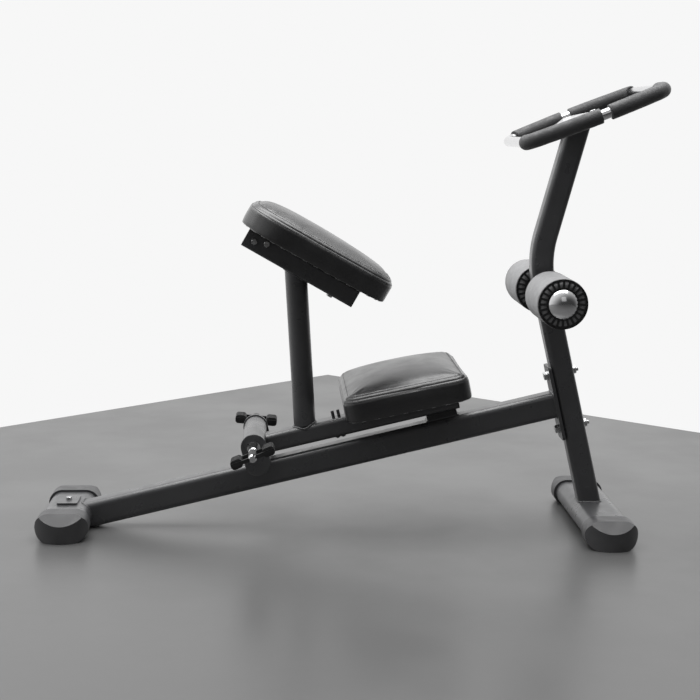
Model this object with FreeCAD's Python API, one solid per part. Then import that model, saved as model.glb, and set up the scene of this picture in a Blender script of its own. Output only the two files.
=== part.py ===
import FreeCAD, Part
import math
import os

from FreeCAD import Vector

# Seated stretch trainer: a sloping floor frame with a bent front post, a rocking
# seat carriage on a rear pivot, foam foot rollers, spinning foot pedals and a
# closed loop handle.  Millimetres, +Z up, +X towards the handle, Y = 0 is the
# plane of symmetry.  While it is drawn, X = 0 is the middle of the rear foot;
# save() then shifts everything so that the origin is on the floor in the middle
# of the length.

# ---------------------------------------------------------------- driving sizes
FIT = 0.05                   # radial clearance of a shaft in its hole
GAP = 0.3                    # clearance between a moving and a fixed surface

FRONT_FOOT_X = 1308.0
FLOOR_CLEARANCE = 3.0        # of the frame between the feet
REAR_FOOT_WIDTH = 334.0
FRONT_FOOT_WIDTH = 510.0
FOOT_DEPTH = 116.0           # flat oval foot tube, along X
FOOT_HEIGHT = 58.0
FOOT_WALL = 3.0
CAP_DEPTH = 128.0            # rubber-like end cap that sleeves the foot tube
CAP_HEIGHT = 68.0
CAP_LENGTH = 76.0            # visible length of a cap
CAP_LIP = 28.0               # how far the cap sleeves the foot tube
CAP_PLUG = 35.0              # how far the cap's plug reaches into the foot tube
CAP_NOSE_RADIUS = 75.0       # plan radius of the cap's end face
CAP_SLOPE = 42.0             # downward slope of the cap's top, degrees
CAP_END_HEIGHT = 43.0        # height of the cap's end face in the middle
CAP_MID = CAP_HEIGHT / 2
ANCHOR_THICK = 5.0           # raised plate in the middle of the rear foot tube
ANCHOR_HALF_DEPTH = 25.0
ANCHOR_HALF_WIDTH = 40.0

BEAM_PITCH = 13.4
BEAM_AXIS_Z = 20.7           # height of the beam's centre line at X = 0
BEAM_WIDTH = 58.0
BEAM_HEIGHT = 64.0
BEAM_CORNER = 14.0
BEAM_START = 20.0            # inside the rear foot tube
TUBE_WALL = 3.0

POST_SIZE = 55.0             # square tube of the bent front post
POST_LEAN = 13.3             # lower part leans back, degrees from vertical
POST_LEAN_TOP = 15.0         # upper part leans forward
POST_CORNER = 12.0
POST_BASE_X = 1297.0         # a point on the lower post's line
POST_BASE_Z = 60.0
POST_BEND_Z = 666.8
POST_BEND_RADIUS = 250.0

FLANGE_THICK = 8.0
FLANGE_LENGTH = 190.0
FLANGE_WIDTH = 66.0
FLANGE_MID = 267.0           # distance up the post from its base point
FLANGE_BOLT_SPREAD = 138.0

HANDLE_PITCH = 21.5
HANDLE_X = 1252.0
HANDLE_Z = 1014.0
HANDLE_HALF_LENGTH = 170.0
HANDLE_HALF_REAR = 155.0
HANDLE_HALF_MIDDLE = 220.0
HANDLE_HALF_FRONT = 165.0
HANDLE_CORNER = 45.0
HANDLE_SIDE_RADIUS = 260.0
HANDLE_TUBE_R = 12.5
GRIP_R = 18.0
RIGHT_SPLIT = (2.0, 23.0)     # bare stretches of the side bars, along the handle
LEFT_SPLIT = (-14.0, 9.0)
REAR_GRIP_WRAP = 25.0        # how far the right grips reach round their corners
FRONT_GRIP_WRAP = 68.0
LEFT_GRIP_INSET = 22.0       # from the loop's rear to the left rear grip
LEFT_GRIP_WRAP = 12.0        # how far the left front grip reaches round its corner
TAB_GAP = 3.5                # between the cross plate's ends and the grips
PLATE_TAB = 20.0             # straight end of the cross plate at a side bar
TOP_PLATE_MID = -19.0        # middle of the plates that join the handle to the post
TOP_PLATE_HALF = 55.0
TOP_PLATE_THICK = 5.0
TOP_PLATE_WIDTH = 60.0
TOP_BOLT_SPREAD = 93.0

ROLLER_X = 1170.0
ROLLER_Z = 587.0
ROLLER_R = 59.5
ROLLER_CORE_R = 22.0
ROLLER_INNER = 65.0          # distance of the roller's inner end from Y = 0
ROLLER_OUTER = 253.0
RING_BASE = 3.0
RIB_HEIGHT = 3.0
RIB_COUNT = 24
RIB_WIDTH = 5.0
RING_R = 58.0
RIM_INNER_R = 53.0
HUB_R = 36.0
AXLE_R = 10.0
DOME_R = 33.5
DOME_HEIGHT = 15.0

PIVOT_ALONG = 494.4          # along the beam from X = 0
PIVOT_ABOVE = 93.3           # above the beam's centre line
PIVOT_TUBE_R = 28.0
PIVOT_TUBE_WALL = 4.0
PIVOT_HALF = 112.0
BUSH_LENGTH = 34.0
CHEEK_R = 31.0
CHEEK_DROP = 41.0
CHEEK_THICK = 8.0
CHEEK_INNER = 114.0
CRADLE_LENGTH = 50.0
CRADLE_THICK = 8.0
SHAFT_R = 11.0
SHAFT_HALF = 180.0
SPINDLE_R = 7.0
PEDAL_INNER = 190.0
PEDAL_WIDTH = 52.0
PEDAL_HALF = 54.0            # half length of a pedal, along X when level
PEDAL_HEIGHT = 22.0
PEDAL_ARM = 4.0              # thickness of an end arm
PEDAL_ARM_RISE = 4.5         # half height of an end arm
PEDAL_BARREL_R = 10.5
TREAD_LENGTH = 28.0
TREAD_CORNER = 8.0
PEDAL_TILT = {"right": 22.0, "left": -5.0}

CARRIAGE_BOTTOM = 48.5       # above the beam's centre line
CARRIAGE_HEIGHT = 46.0
CARRIAGE_WIDTH = 58.0
CARRIAGE_CORNER = 12.0
CARRIAGE_END = 1000.0        # along the beam from X = 0
BUMPER_START = 920.0
BUMPER_LENGTH = 75.0
BUMPER_WIDTH = 40.0
BUMPER_PLATE = 3.0
CARRIAGE_BOLT_ALONG = 702.0
CARRIAGE_BOLT_SPREAD = 14.0
STUD_R = 4.0
STUD_RISE = 17.0             # above the carriage tube
STUD_DROP = 7.0              # below it

SEAT_POST_R = 27.0
SEAT_POST_LEAN = 3.5
SEAT_POST_X = 582.0          # where the seat post's line is at SEAT_POST_Z
SEAT_POST_Z = 277.0

SEAT_PITCH = -29.5
SEAT_X = 597.1
SEAT_Z = 657.9
SEAT_LENGTH = 396.0
SEAT_REAR_WIDTH = 320.0
SEAT_FRONT_WIDTH = 240.0
SEAT_TAIL_RADIUS = 105.0
SEAT_NOSE_RADIUS = 80.0
SEAT_BOTTOM = 6.0            # underside of the cushion above the channel
SEAT_EDGE = 66.0             # top of the cushion's side
SEAT_CROWN = 20.0
CHANNEL_LENGTH = 306.0
CHANNEL_MID = -16.0
CHANNEL_HEIGHT = 45.0
CHANNEL_WIDTH = 60.0
SEAT_BOLTS = (-88.0, 79.0)   # pad bolts, along the seat from its middle
SEAT_PLATE_REAR = -120.0
SEAT_PLATE_FRONT = 90.0
SEAT_PLATE_HALF = 50.0
ACCESS_HOLE_R = 9.0
CROSS_BOLTS = ((24.0, 22.0), (53.0, 12.0))  # from the channel's tail, below its top
BOARD_THICK = 12.0
BOARD_INSET = 14.0

KNEE_PITCH = 11.7
KNEE_X = 829.0
KNEE_Z = 323.5
KNEE_LENGTH = 308.0
KNEE_WIDTH = 385.0
KNEE_CORNER = 38.0
KNEE_EDGE = 62.0
KNEE_CROWN = 28.0
KNEE_PLATE = 4.0

BOLT_HEAD_FLATS = 18.0
BOLT_HEAD_HEIGHT = 8.0
BOLT_R = 5.0

# ------------------------------------------------------------- derived positions
BEAM_TOP = BEAM_HEIGHT / 2
HANDLE_NOSE_X = HANDLE_X + HANDLE_HALF_LENGTH * math.cos(math.radians(HANDLE_PITCH)) + GRIP_R
ORIGIN_X = (HANDLE_NOSE_X - CAP_DEPTH / 2) / 2
BIG = 3000.0
SIDES = {"right": -1, "left": 1}


def save(node, solids):
    """Write one node, one solid or a list of separate solids, as a STEP file."""
    if isinstance(solids, list):
        shape = Part.makeCompound(solids)
    else:
        shape = solids
    shape = shape.copy()
    shape.translate(Vector(-ORIGIN_X, 0, 0))
    count = len(shape.Solids)
    if not shape.isValid() or count == 0 or shape.Volume <= 0:
        raise RuntimeError("bad shape in " + node)
    shape.exportStep("parts/" + node + ".step")
    print(node, count, round(shape.Volume / 1000.0, 1), "cm3")


def place(shape, x, z, pitch):
    """Turn a shape drawn along X up by pitch about the origin, then move it."""
    moved = shape.copy()
    moved.rotate(Vector(0, 0, 0), Vector(0, 1, 0), -pitch)
    moved.translate(Vector(x, 0, z))
    return moved


def on_beam(shape):
    """From beam coordinates (along, across, above the centre line) to the world."""
    return place(shape, 0, BEAM_AXIS_Z, BEAM_PITCH)


def on_post(shape):
    """From post coordinates (forward, across, up the lower post) to the world."""
    return place(shape, POST_BASE_X, POST_BASE_Z, POST_LEAN)


def on_handle(shape):
    """From handle coordinates (along, across, above its plane) to the world."""
    return place(shape, HANDLE_X, HANDLE_Z, HANDLE_PITCH)


def on_seat(shape):
    """From seat coordinates (along, across, above the channel) to the world."""
    return place(shape, SEAT_X, SEAT_Z, SEAT_PITCH)


def on_knee(shape):
    """From knee pad coordinates (along, across, above its underside) to the world."""
    return place(shape, KNEE_X, KNEE_Z, KNEE_PITCH)


def mirrored(shape):
    """The same piece on the other side of the plane of symmetry."""
    return shape.mirror(Vector(0, 0, 0), Vector(0, 1, 0))


def block(x0, x1, y0, y1, z0, z1):
    """A box between two corners."""
    return Part.makeBox(x1 - x0, y1 - y0, z1 - z0, Vector(x0, y0, z0))


def edges_along(shape, axis):
    """The straight edges of a shape that run parallel to an axis."""
    found = []
    for edge in shape.Edges:
        if isinstance(edge.Curve, Part.Line):
            if abs(abs(edge.Curve.Direction.dot(axis)) - 1) < 1e-6:
                found.append(edge)
    return found


def rounded_bar(x0, x1, width, z0, z1, radius):
    """A bar along X whose four long edges are rounded."""
    bar = block(x0, x1, -width / 2, width / 2, z0, z1)
    return bar.makeFillet(radius, edges_along(bar, Vector(1, 0, 0)))


def square_tube(x0, x1, width, z0, z1, radius, wall):
    """A hollow rectangular tube along X."""
    outside = rounded_bar(x0, x1, width, z0, z1, radius)
    inside = rounded_bar(x0 - 1, x1 + 1, width - 2 * wall, z0 + wall, z1 - wall, radius - wall)
    return outside.cut(inside)


def across(x, z, y0, y1, radius):
    """A round bar along Y."""
    return Part.makeCylinder(radius, y1 - y0, Vector(x, y0, z), Vector(0, 1, 0))


def sleeve(x, z, y0, y1, outer, inner):
    """A round tube along Y."""
    return across(x, z, y0, y1, outer).cut(across(x, z, y0 - 1, y1 + 1, inner))


def hexagon(base, direction, flats, height):
    """A hexagon bar that stands on base, used for bolt heads and nuts."""
    radius = flats / math.sqrt(3)
    points = []
    for corner in range(7):
        angle = math.radians(60 * corner)
        points.append(Vector(radius * math.cos(angle), radius * math.sin(angle), 0))
    prism = Part.Face(Part.makePolygon(points)).extrude(Vector(0, 0, height))
    cone_r = radius * 1.02
    dome = Part.makeCone(cone_r + height, cone_r - height * 0.22, height)
    prism = prism.common(dome)
    prism.Placement = FreeCAD.Placement(base, FreeCAD.Rotation(Vector(0, 0, 1), direction))
    return prism


def bolt(base, direction, length, radius=BOLT_R, flats=BOLT_HEAD_FLATS, head=BOLT_HEAD_HEIGHT):
    """A hex bolt: the head stands on base along direction, the shank goes the other way."""
    shank = Part.makeCylinder(radius, length, base, direction.negative())
    return shank.fuse(hexagon(base, direction, flats, head)).removeSplitter()


def nut(base, direction, radius=BOLT_R, flats=BOLT_HEAD_FLATS, height=BOLT_HEAD_HEIGHT):
    """A hex nut on a shank of the given radius."""
    hole = Part.makeCylinder(radius + FIT, height + 2, base - direction, direction)
    return hexagon(base, direction, flats, height).cut(hole)


def bolt_hole(base, direction, length, radius=BOLT_R):
    """The clearance hole for a bolt that runs the way the shank does."""
    return Part.makeCylinder(radius + FIT, length, base, direction.negative())


def fillet_path(points, radii, closed):
    """Straight runs joined by tangent arcs; radii belong to the inner points."""
    count = len(points)
    runs = []
    arcs = []
    corners = range(count) if closed else range(1, count - 1)
    trims = {}
    for index in corners:
        here = points[index]
        back = (points[index - 1] - here).normalize()
        ahead = (points[(index + 1) % count] - here).normalize()
        angle = back.getAngle(ahead)
        reach = radii[index] / math.tan(angle / 2)
        start = here + back * reach
        end = here + ahead * reach
        middle_dir = (back + ahead).normalize()
        centre = here + middle_dir * (radii[index] / math.sin(angle / 2))
        middle = centre - middle_dir * radii[index]
        arcs.append(Part.Arc(start, middle, end).toShape())
        trims[index] = (start, end)
    edges = []
    arc_of = dict(zip(corners, arcs))
    last = count if closed else count - 1
    for index in range(last):
        following = (index + 1) % count
        start = trims[index][1] if index in trims else points[index]
        end = trims[following][0] if following in trims else points[following]
        edges.append(Part.LineSegment(start, end).toShape())
        if following in arc_of:
            edges.append(arc_of[following])
    return edges


def part_of_path(edges, start, end):
    """The stretch of a path between two distances from its beginning."""
    kept = []
    done = 0.0
    for edge in edges:
        low = max(start - done, 0.0)
        high = min(end - done, edge.Length)
        if high - low > 0.01:
            first = edge.getParameterByLength(low)
            final = edge.getParameterByLength(high)
            kept.append(edge.Curve.toShape(first, final))
        done += edge.Length
    return kept


def round_sweep(edges, radius):
    """A solid round bar along a path."""
    wire = Part.Wire(edges)
    first = edges[0]
    start = first.valueAt(first.FirstParameter)
    heading = first.tangentAt(first.FirstParameter)
    circle = Part.Wire(Part.makeCircle(radius, start, heading))
    return wire.makePipeShell([circle], True, False)


def path_length(edges):
    return sum(edge.Length for edge in edges)


# ------------------------------------------------------------------------- feet
def oval_bar(x, half_width, depth, height, mid_z):
    """A flat oval bar along Y: semicircular sides and flat top and bottom."""
    flat = depth - height
    bar = block(x - flat / 2, x + flat / 2, -half_width, half_width, mid_z - height / 2, mid_z + height / 2)
    bar = bar.fuse(across(x - flat / 2, mid_z, -half_width, half_width, height / 2))
    bar = bar.fuse(across(x + flat / 2, mid_z, -half_width, half_width, height / 2))
    return bar.removeSplitter()


def foot_tube_end(width):
    """Distance from Y = 0 to the cut end of a foot tube, inside its cap's lip."""
    return width / 2 - CAP_LENGTH + CAP_LIP


def foot_outline(x, width):
    """The foot tube's outer solid, used to cope the tubes that are welded to it."""
    return oval_bar(x, foot_tube_end(width), FOOT_DEPTH, FOOT_HEIGHT, CAP_MID)


def foot_tube(x, width):
    bore = oval_bar(x, width, FOOT_DEPTH - 2 * FOOT_WALL, FOOT_HEIGHT - 2 * FOOT_WALL, CAP_MID)
    return foot_outline(x, width).cut(bore)


def foot_cap(x, width):
    """End cap at -Y: a lip over the tube, a plug inside it, a sloping top and a round nose."""
    end = width / 2
    tube_end = foot_tube_end(width)
    body = oval_bar(x, end, CAP_DEPTH, CAP_HEIGHT, CAP_MID)
    body = body.cut(block(x - BIG, x + BIG, -end + CAP_LENGTH, BIG, -BIG, BIG))
    nose = Part.makeCylinder(CAP_NOSE_RADIUS, BIG, Vector(x, -end + CAP_NOSE_RADIUS, -BIG / 2))
    nose = nose.fuse(block(x - BIG, x + BIG, -end + CAP_NOSE_RADIUS, BIG, -BIG / 2, BIG / 2))
    body = body.common(nose)
    wedge = block(-BIG, BIG, -BIG, BIG, 0, BIG)
    wedge.rotate(Vector(0, 0, 0), Vector(1, 0, 0), CAP_SLOPE)
    wedge.translate(Vector(x, -end, CAP_END_HEIGHT))
    body = body.cut(wedge)
    body = body.cut(oval_bar(x, tube_end + FIT, FOOT_DEPTH + 2 * FIT, FOOT_HEIGHT + 2 * FIT, CAP_MID))
    inset = FOOT_WALL + 0.5
    plug = oval_bar(x, tube_end + 1, FOOT_DEPTH - 2 * inset, FOOT_HEIGHT - 2 * inset, CAP_MID)
    plug = plug.cut(block(x - BIG, x + BIG, CAP_PLUG - tube_end, BIG, -BIG, BIG))
    return body.fuse(plug).removeSplitter()


def anchor_point():
    """Where the anchor screw's head sits, on top of its plate."""
    return Vector(0, 0, CAP_MID + FOOT_HEIGHT / 2 + ANCHOR_THICK)


def anchor_hole():
    return bolt_hole(anchor_point(), Vector(0, 0, 1), 20, 4)


def rear_anchor():
    """Raised plate on the rear foot, with its screw."""
    top = anchor_point().z
    plate = block(-ANCHOR_HALF_DEPTH, ANCHOR_HALF_DEPTH, -ANCHOR_HALF_WIDTH, ANCHOR_HALF_WIDTH,
                  top - ANCHOR_THICK, top)
    plate = plate.makeFillet(5, edges_along(plate, Vector(0, 0, 1)))
    screw = bolt(anchor_point(), Vector(0, 0, 1), 19, 4, 13, 6)
    return plate.cut(anchor_hole()), screw


# ------------------------------------------------------------------------- frame
def main_beam():
    tube = square_tube(BEAM_START, FRONT_FOOT_X, BEAM_WIDTH, -BEAM_TOP, BEAM_TOP, BEAM_CORNER, TUBE_WALL)
    tube = on_beam(tube).cut(foot_outline(0, REAR_FOOT_WIDTH))
    tube = tube.cut(block(-BIG, BEAM_START, -BIG, BIG, -BIG, BIG))
    tube = tube.cut(block(-BIG, BIG, -BIG, BIG, -BIG, FLOOR_CLEARANCE))
    ahead = on_post(block(-POST_SIZE / 2 - FLANGE_THICK, BIG, -BIG, BIG, -BIG, BIG))
    tube = tube.cut(ahead)
    pieces = sorted(tube.Solids, key=lambda solid: solid.Volume)
    return pieces[-1]


def post_path():
    rise = POST_BEND_Z - POST_BASE_Z
    bend_x = POST_BASE_X - rise * math.tan(math.radians(POST_LEAN))
    start_z = CAP_MID
    start_x = POST_BASE_X + (POST_BASE_Z - start_z) * math.tan(math.radians(POST_LEAN))
    end_z = HANDLE_Z + 30
    end_x = bend_x + (end_z - POST_BEND_Z) * math.tan(math.radians(POST_LEAN_TOP))
    points = [Vector(start_x, 0, start_z), Vector(bend_x, 0, POST_BEND_Z), Vector(end_x, 0, end_z)]
    return fillet_path(points, [0, POST_BEND_RADIUS, 0], False)


def post_solid(edges, size, radius):
    profile = rounded_bar(0, 1, size, -size / 2, size / 2, radius)
    face = [item for item in profile.Faces if abs(item.CenterOfMass.x) < 1e-6][0]
    wire = face.OuterWire
    first = edges[0]
    start = first.valueAt(first.FirstParameter)
    heading = first.tangentAt(first.FirstParameter)
    wire.rotate(Vector(0, 0, 0), Vector(0, 1, 0), -math.degrees(math.atan2(heading.z, heading.x)))
    wire.translate(start)
    return Part.Wire(edges).makePipeShell([wire], True, False)


def upright():
    edges = post_path()
    tube = post_solid(edges, POST_SIZE, POST_CORNER)
    tube = tube.cut(post_solid(edges, POST_SIZE - 2 * TUBE_WALL, POST_CORNER - TUBE_WALL))
    tube = tube.cut(foot_outline(FRONT_FOOT_X, FRONT_FOOT_WIDTH))
    tube = tube.cut(on_handle(block(-BIG, BIG, -BIG, BIG, -2 * TOP_PLATE_THICK, BIG)))
    tube = tube.cut(block(-BIG, BIG, -BIG, BIG, -BIG, CAP_MID + FOOT_HEIGHT / 2 - 1))
    tube = tube.cut(across(ROLLER_X, ROLLER_Z, -100, 100, AXLE_R + FIT))
    for base in flange_bolt_points():
        tube = tube.cut(on_post(Part.makeCylinder(BOLT_R + FIT, 200, base, Vector(1, 0, 0))))
    pieces = sorted(tube.Solids, key=lambda solid: solid.Volume)
    return pieces[-1]


def flange_bolt_points():
    """Bolt centres on the flange's outer face, in post coordinates."""
    face = -POST_SIZE / 2 - FLANGE_THICK
    low = Vector(face, 0, FLANGE_MID - FLANGE_BOLT_SPREAD / 2)
    high = Vector(face, 0, FLANGE_MID + FLANGE_BOLT_SPREAD / 2)
    return [low, high]


def beam_flange():
    face = -POST_SIZE / 2
    half = FLANGE_LENGTH / 2
    plate = block(face - FLANGE_THICK, face, -FLANGE_WIDTH / 2, FLANGE_WIDTH / 2,
                  FLANGE_MID - half, FLANGE_MID + half)
    plate = plate.makeFillet(10, edges_along(plate, Vector(1, 0, 0)))
    for base in flange_bolt_points():
        plate = plate.cut(bolt_hole(base, Vector(-1, 0, 0), 60))
    return on_post(plate)


def flange_fasteners():
    bolts = []
    nuts = []
    washers = []
    washer = 2.0
    for base in flange_bolt_points():
        seat = base - Vector(washer, 0, 0)
        front = Vector(POST_SIZE / 2, 0, base.z)
        length = front.x - seat.x + 14
        ring = Part.makeCylinder(12, washer, seat, Vector(1, 0, 0))
        washers.append(on_post(ring.cut(bolt_hole(seat, Vector(-1, 0, 0), 60))))
        bolts.append(on_post(bolt(seat, Vector(-1, 0, 0), length)))
        nuts.append(on_post(nut(front, Vector(1, 0, 0))))
    return bolts, nuts, washers


# ------------------------------------------------------------------------ handle
def handle_path():
    """The loop's centre line, from the middle of the rear bar round the -Y side."""
    half = HANDLE_HALF_LENGTH
    outline = [
        Vector(-half, 0, 0),
        Vector(-half, -HANDLE_HALF_REAR, 0),
        Vector(0, -HANDLE_HALF_MIDDLE, 0),
        Vector(half, -HANDLE_HALF_FRONT, 0),
        Vector(half, HANDLE_HALF_FRONT, 0),
        Vector(0, HANDLE_HALF_MIDDLE, 0),
        Vector(-half, HANDLE_HALF_REAR, 0),
        Vector(-half, 0, 0),
    ]
    corner = HANDLE_CORNER
    side = HANDLE_SIDE_RADIUS
    return fillet_path(outline, [0, corner, side, corner, corner, side, corner, 0], False)


def distance_at(edges, along, left):
    """Distance round the loop to the side bar's point at the given place along."""
    total = path_length(edges)
    best = None
    for step in range(2001):
        distance = total * step / 2000
        point = part_point(edges, distance)
        if (point.y > 0) == left and abs(point.y) > HANDLE_HALF_REAR:
            error = abs(point.x - along)
            if best is None or error < best[0]:
                best = (error, distance)
    return best[1]


def part_point(edges, distance):
    for edge in edges:
        if distance <= edge.Length:
            return edge.valueAt(edge.getParameterByLength(distance))
        distance -= edge.Length
    return edges[-1].valueAt(edges[-1].LastParameter)


def handle_tube(edges):
    half = path_length(edges) / 2
    first = round_sweep(part_of_path(edges, 0, half), HANDLE_TUBE_R)
    second = round_sweep(part_of_path(edges, half, 2 * half), HANDLE_TUBE_R)
    return first.fuse(second)


def grip(edges, start, end):
    """A foam sleeve over one stretch of the handle."""
    stretch = part_of_path(edges, start, end)
    return round_sweep(stretch, GRIP_R).cut(round_sweep(stretch, HANDLE_TUBE_R + FIT))


def handle_grips(edges):
    """Two grips on each side; all but the left rear one wrap into the corners."""
    middle = path_length(edges) / 2
    rear_bar_start = HANDLE_HALF_REAR - REAR_GRIP_WRAP
    front_bar_end = middle - HANDLE_HALF_FRONT + FRONT_GRIP_WRAP
    front_bar_start = middle + HANDLE_HALF_FRONT - LEFT_GRIP_WRAP
    left_rear_end = distance_at(edges, -HANDLE_HALF_LENGTH + LEFT_GRIP_INSET, True)
    right = [distance_at(edges, along, False) for along in RIGHT_SPLIT]
    left = [distance_at(edges, along, True) for along in LEFT_SPLIT]
    return {
        "grip_right_rear": grip(edges, rear_bar_start, right[0]),
        "grip_right_front": grip(edges, right[1], front_bar_end),
        "grip_left_front": grip(edges, front_bar_start, left[1]),
        "grip_left_rear": grip(edges, left[0], left_rear_end),
    }


def handle_plates(loop):
    """The tapered cross plate welded into the loop and the plate welded on the post."""
    x0 = TOP_PLATE_MID - TOP_PLATE_HALF
    x1 = TOP_PLATE_MID + TOP_PLATE_HALF
    half = TOP_PLATE_WIDTH / 2
    reach = HANDLE_HALF_MIDDLE
    neck = PLATE_TAB - reach
    ends = []
    for split in (RIGHT_SPLIT, LEFT_SPLIT):
        tab0 = split[0] + TAB_GAP
        tab1 = split[1] - TAB_GAP
        ends.append([(x0, -half), (tab0, neck), (tab0, -reach), (tab1, -reach), (tab1, neck), (x1, -half)])
    right = ends[0]
    left = [(x, -y) for x, y in reversed(ends[1])]
    outline = [Vector(x, y, -TOP_PLATE_THICK) for x, y in right + left]
    upper = Part.Face(Part.makePolygon(outline + outline[:1])).extrude(Vector(0, 0, TOP_PLATE_THICK))
    upper = upper.cut(loop)
    upper = sorted(upper.Solids, key=lambda solid: solid.Volume)[-1]
    lower = block(x0, x1, -TOP_PLATE_WIDTH / 2, TOP_PLATE_WIDTH / 2, -2 * TOP_PLATE_THICK, -TOP_PLATE_THICK)
    lower = lower.makeFillet(8, edges_along(lower, Vector(0, 0, 1)))
    bolts = []
    nuts = []
    for side in (-1, 1):
        base = Vector(TOP_PLATE_MID + side * TOP_BOLT_SPREAD / 2, 0, 0)
        upper = upper.cut(bolt_hole(base, Vector(0, 0, 1), 30, 4))
        lower = lower.cut(bolt_hole(base, Vector(0, 0, 1), 30, 4))
        bolts.append(bolt(base, Vector(0, 0, 1), 2 * TOP_PLATE_THICK + 8, 4, 13, 6))
        nuts.append(nut(base - Vector(0, 0, 2 * TOP_PLATE_THICK), Vector(0, 0, -1), 4, 13, 6))
    return upper, lower, bolts, nuts


# ----------------------------------------------------------------------- rollers
def ribbed_ring(outer_y, facing):
    """An open end ring of a roller: hub, rim and raised radial spokes."""
    base = min(outer_y, outer_y - facing * RING_BASE)
    hub = sleeve(0, 0, base, base + RING_BASE, HUB_R, AXLE_R + 4)
    rim = sleeve(0, 0, base, base + RING_BASE, RING_R, RIM_INNER_R)
    low = min(outer_y - facing * RING_BASE, outer_y + facing * RIB_HEIGHT)
    high = low + RING_BASE + RIB_HEIGHT
    spokes = []
    for index in range(RIB_COUNT):
        spoke = block(DOME_R + 1, RING_R - 1, low, high, -RIB_WIDTH / 2, RIB_WIDTH / 2)
        spoke.rotate(Vector(0, 0, 0), Vector(0, 1, 0), 360.0 * index / RIB_COUNT)
        spokes.append(spoke)
    ring = hub.fuse([rim] + spokes).removeSplitter()
    ring.translate(Vector(ROLLER_X, 0, ROLLER_Z))
    return ring


def roller_pieces():
    """Foam, core and end rings of the roller at +Y."""
    inner = ROLLER_INNER + RING_BASE + RIB_HEIGHT
    outer = ROLLER_OUTER - RING_BASE - RIB_HEIGHT
    foam = sleeve(ROLLER_X, ROLLER_Z, inner, outer, ROLLER_R, ROLLER_CORE_R)
    foam = foam.makeFillet(3, [edge for edge in foam.Edges if edge.Length > 2 * math.pi * ROLLER_R - 1
                               and isinstance(edge.Curve, Part.Circle)])
    core = sleeve(ROLLER_X, ROLLER_Z, inner, outer, ROLLER_CORE_R, AXLE_R + FIT)
    outer_ring = ribbed_ring(ROLLER_OUTER - RIB_HEIGHT, 1)
    inner_ring = ribbed_ring(ROLLER_INNER + RIB_HEIGHT, -1)
    return foam, core, [inner_ring, outer_ring]


def dome():
    """A shallow domed retainer on the axle's end at +Y."""
    sphere_r = (DOME_R ** 2 + DOME_HEIGHT ** 2) / (2 * DOME_HEIGHT)
    base = ROLLER_OUTER + 0.5
    ball = Part.makeSphere(sphere_r, Vector(ROLLER_X, base + DOME_HEIGHT - sphere_r, ROLLER_Z))
    rim = across(ROLLER_X, ROLLER_Z, base, base + DOME_HEIGHT + 1, DOME_R)
    return ball.common(rim)


# ------------------------------------------------------------------ rear pivot
def cheek():
    """An obround plate at +Y that carries the pivot shaft, in beam coordinates."""
    low = PIVOT_ABOVE - CHEEK_DROP
    outer = CHEEK_INNER + CHEEK_THICK
    plate = block(PIVOT_ALONG - CHEEK_R, PIVOT_ALONG + CHEEK_R, CHEEK_INNER, outer, low, PIVOT_ABOVE)
    plate = plate.fuse(across(PIVOT_ALONG, PIVOT_ABOVE, CHEEK_INNER, outer, CHEEK_R))
    plate = plate.fuse(across(PIVOT_ALONG, low, CHEEK_INNER, outer, CHEEK_R)).removeSplitter()
    plate = plate.makeChamfer(1.2, [edge for edge in plate.Edges if edge.Length > 30
                                    and abs(edge.CenterOfMass.y - outer) < 1e-6])
    return plate.cut(across(PIVOT_ALONG, PIVOT_ABOVE, 0, BIG, SHAFT_R + FIT))


def pivot_shaft():
    """Shaft with a thinner pedal spindle at each end, in beam coordinates."""
    end = PEDAL_INNER + PEDAL_WIDTH + 4
    shaft = across(PIVOT_ALONG, PIVOT_ABOVE, -SHAFT_HALF, SHAFT_HALF, SHAFT_R)
    shaft = shaft.makeChamfer(2, [edge for edge in shaft.Edges if isinstance(edge.Curve, Part.Circle)])
    return shaft.fuse(across(PIVOT_ALONG, PIVOT_ABOVE, -end, end, SPINDLE_R)).removeSplitter()


def pedal(side):
    """A pedal at +Y: a barrel with two end arms that carry two rubber treads."""
    y0 = PEDAL_INNER
    y1 = PEDAL_INNER + PEDAL_WIDTH
    half_height = PEDAL_HEIGHT / 2
    body = across(0, 0, y0, y1, PEDAL_BARREL_R)
    for low in (y0, y1 - PEDAL_ARM):
        arm = block(-PEDAL_HALF, PEDAL_HALF, low, low + PEDAL_ARM, -PEDAL_ARM_RISE, PEDAL_ARM_RISE)
        arm = arm.makeFillet(3, edges_along(arm, Vector(0, 1, 0)))
        body = body.fuse(arm)
    body = body.removeSplitter().cut(across(0, 0, 0, BIG, SPINDLE_R + FIT))
    treads = []
    for end in (-1, 1):
        centre = end * (PEDAL_HALF - TREAD_LENGTH / 2)
        tread = block(centre - TREAD_LENGTH / 2, centre + TREAD_LENGTH / 2,
                      y0 + PEDAL_ARM, y1 - PEDAL_ARM, -half_height, half_height)
        tread = tread.makeFillet(TREAD_CORNER, edges_along(tread, Vector(0, 1, 0)))
        groove_pitch = 8.0
        for index in range(-2, 3):
            middle = (y0 + y1) / 2 + index * groove_pitch
            for low in (half_height - 3, -half_height - 1):
                tread = tread.cut(block(-BIG, BIG, middle - 2, middle + 2, low, low + 4))
        treads.append(tread)
    nut_y = y1 + 0.6
    cap = Part.makeCone(10, 7, 7, Vector(0, nut_y, 0), Vector(0, 1, 0))
    cap = cap.cut(across(0, 0, 0, PEDAL_INNER + PEDAL_WIDTH + 4 + FIT, SPINDLE_R + FIT))
    tilt = PEDAL_TILT[side] - BEAM_PITCH
    placed = []
    for shape in [body, treads[0], treads[1], cap]:
        moved = place(shape, PIVOT_ALONG, PIVOT_ABOVE, tilt)
        if side == "right":
            moved = mirrored(moved)
        placed.append(on_beam(moved))
    return placed[0], placed[1:3], placed[3]


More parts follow.
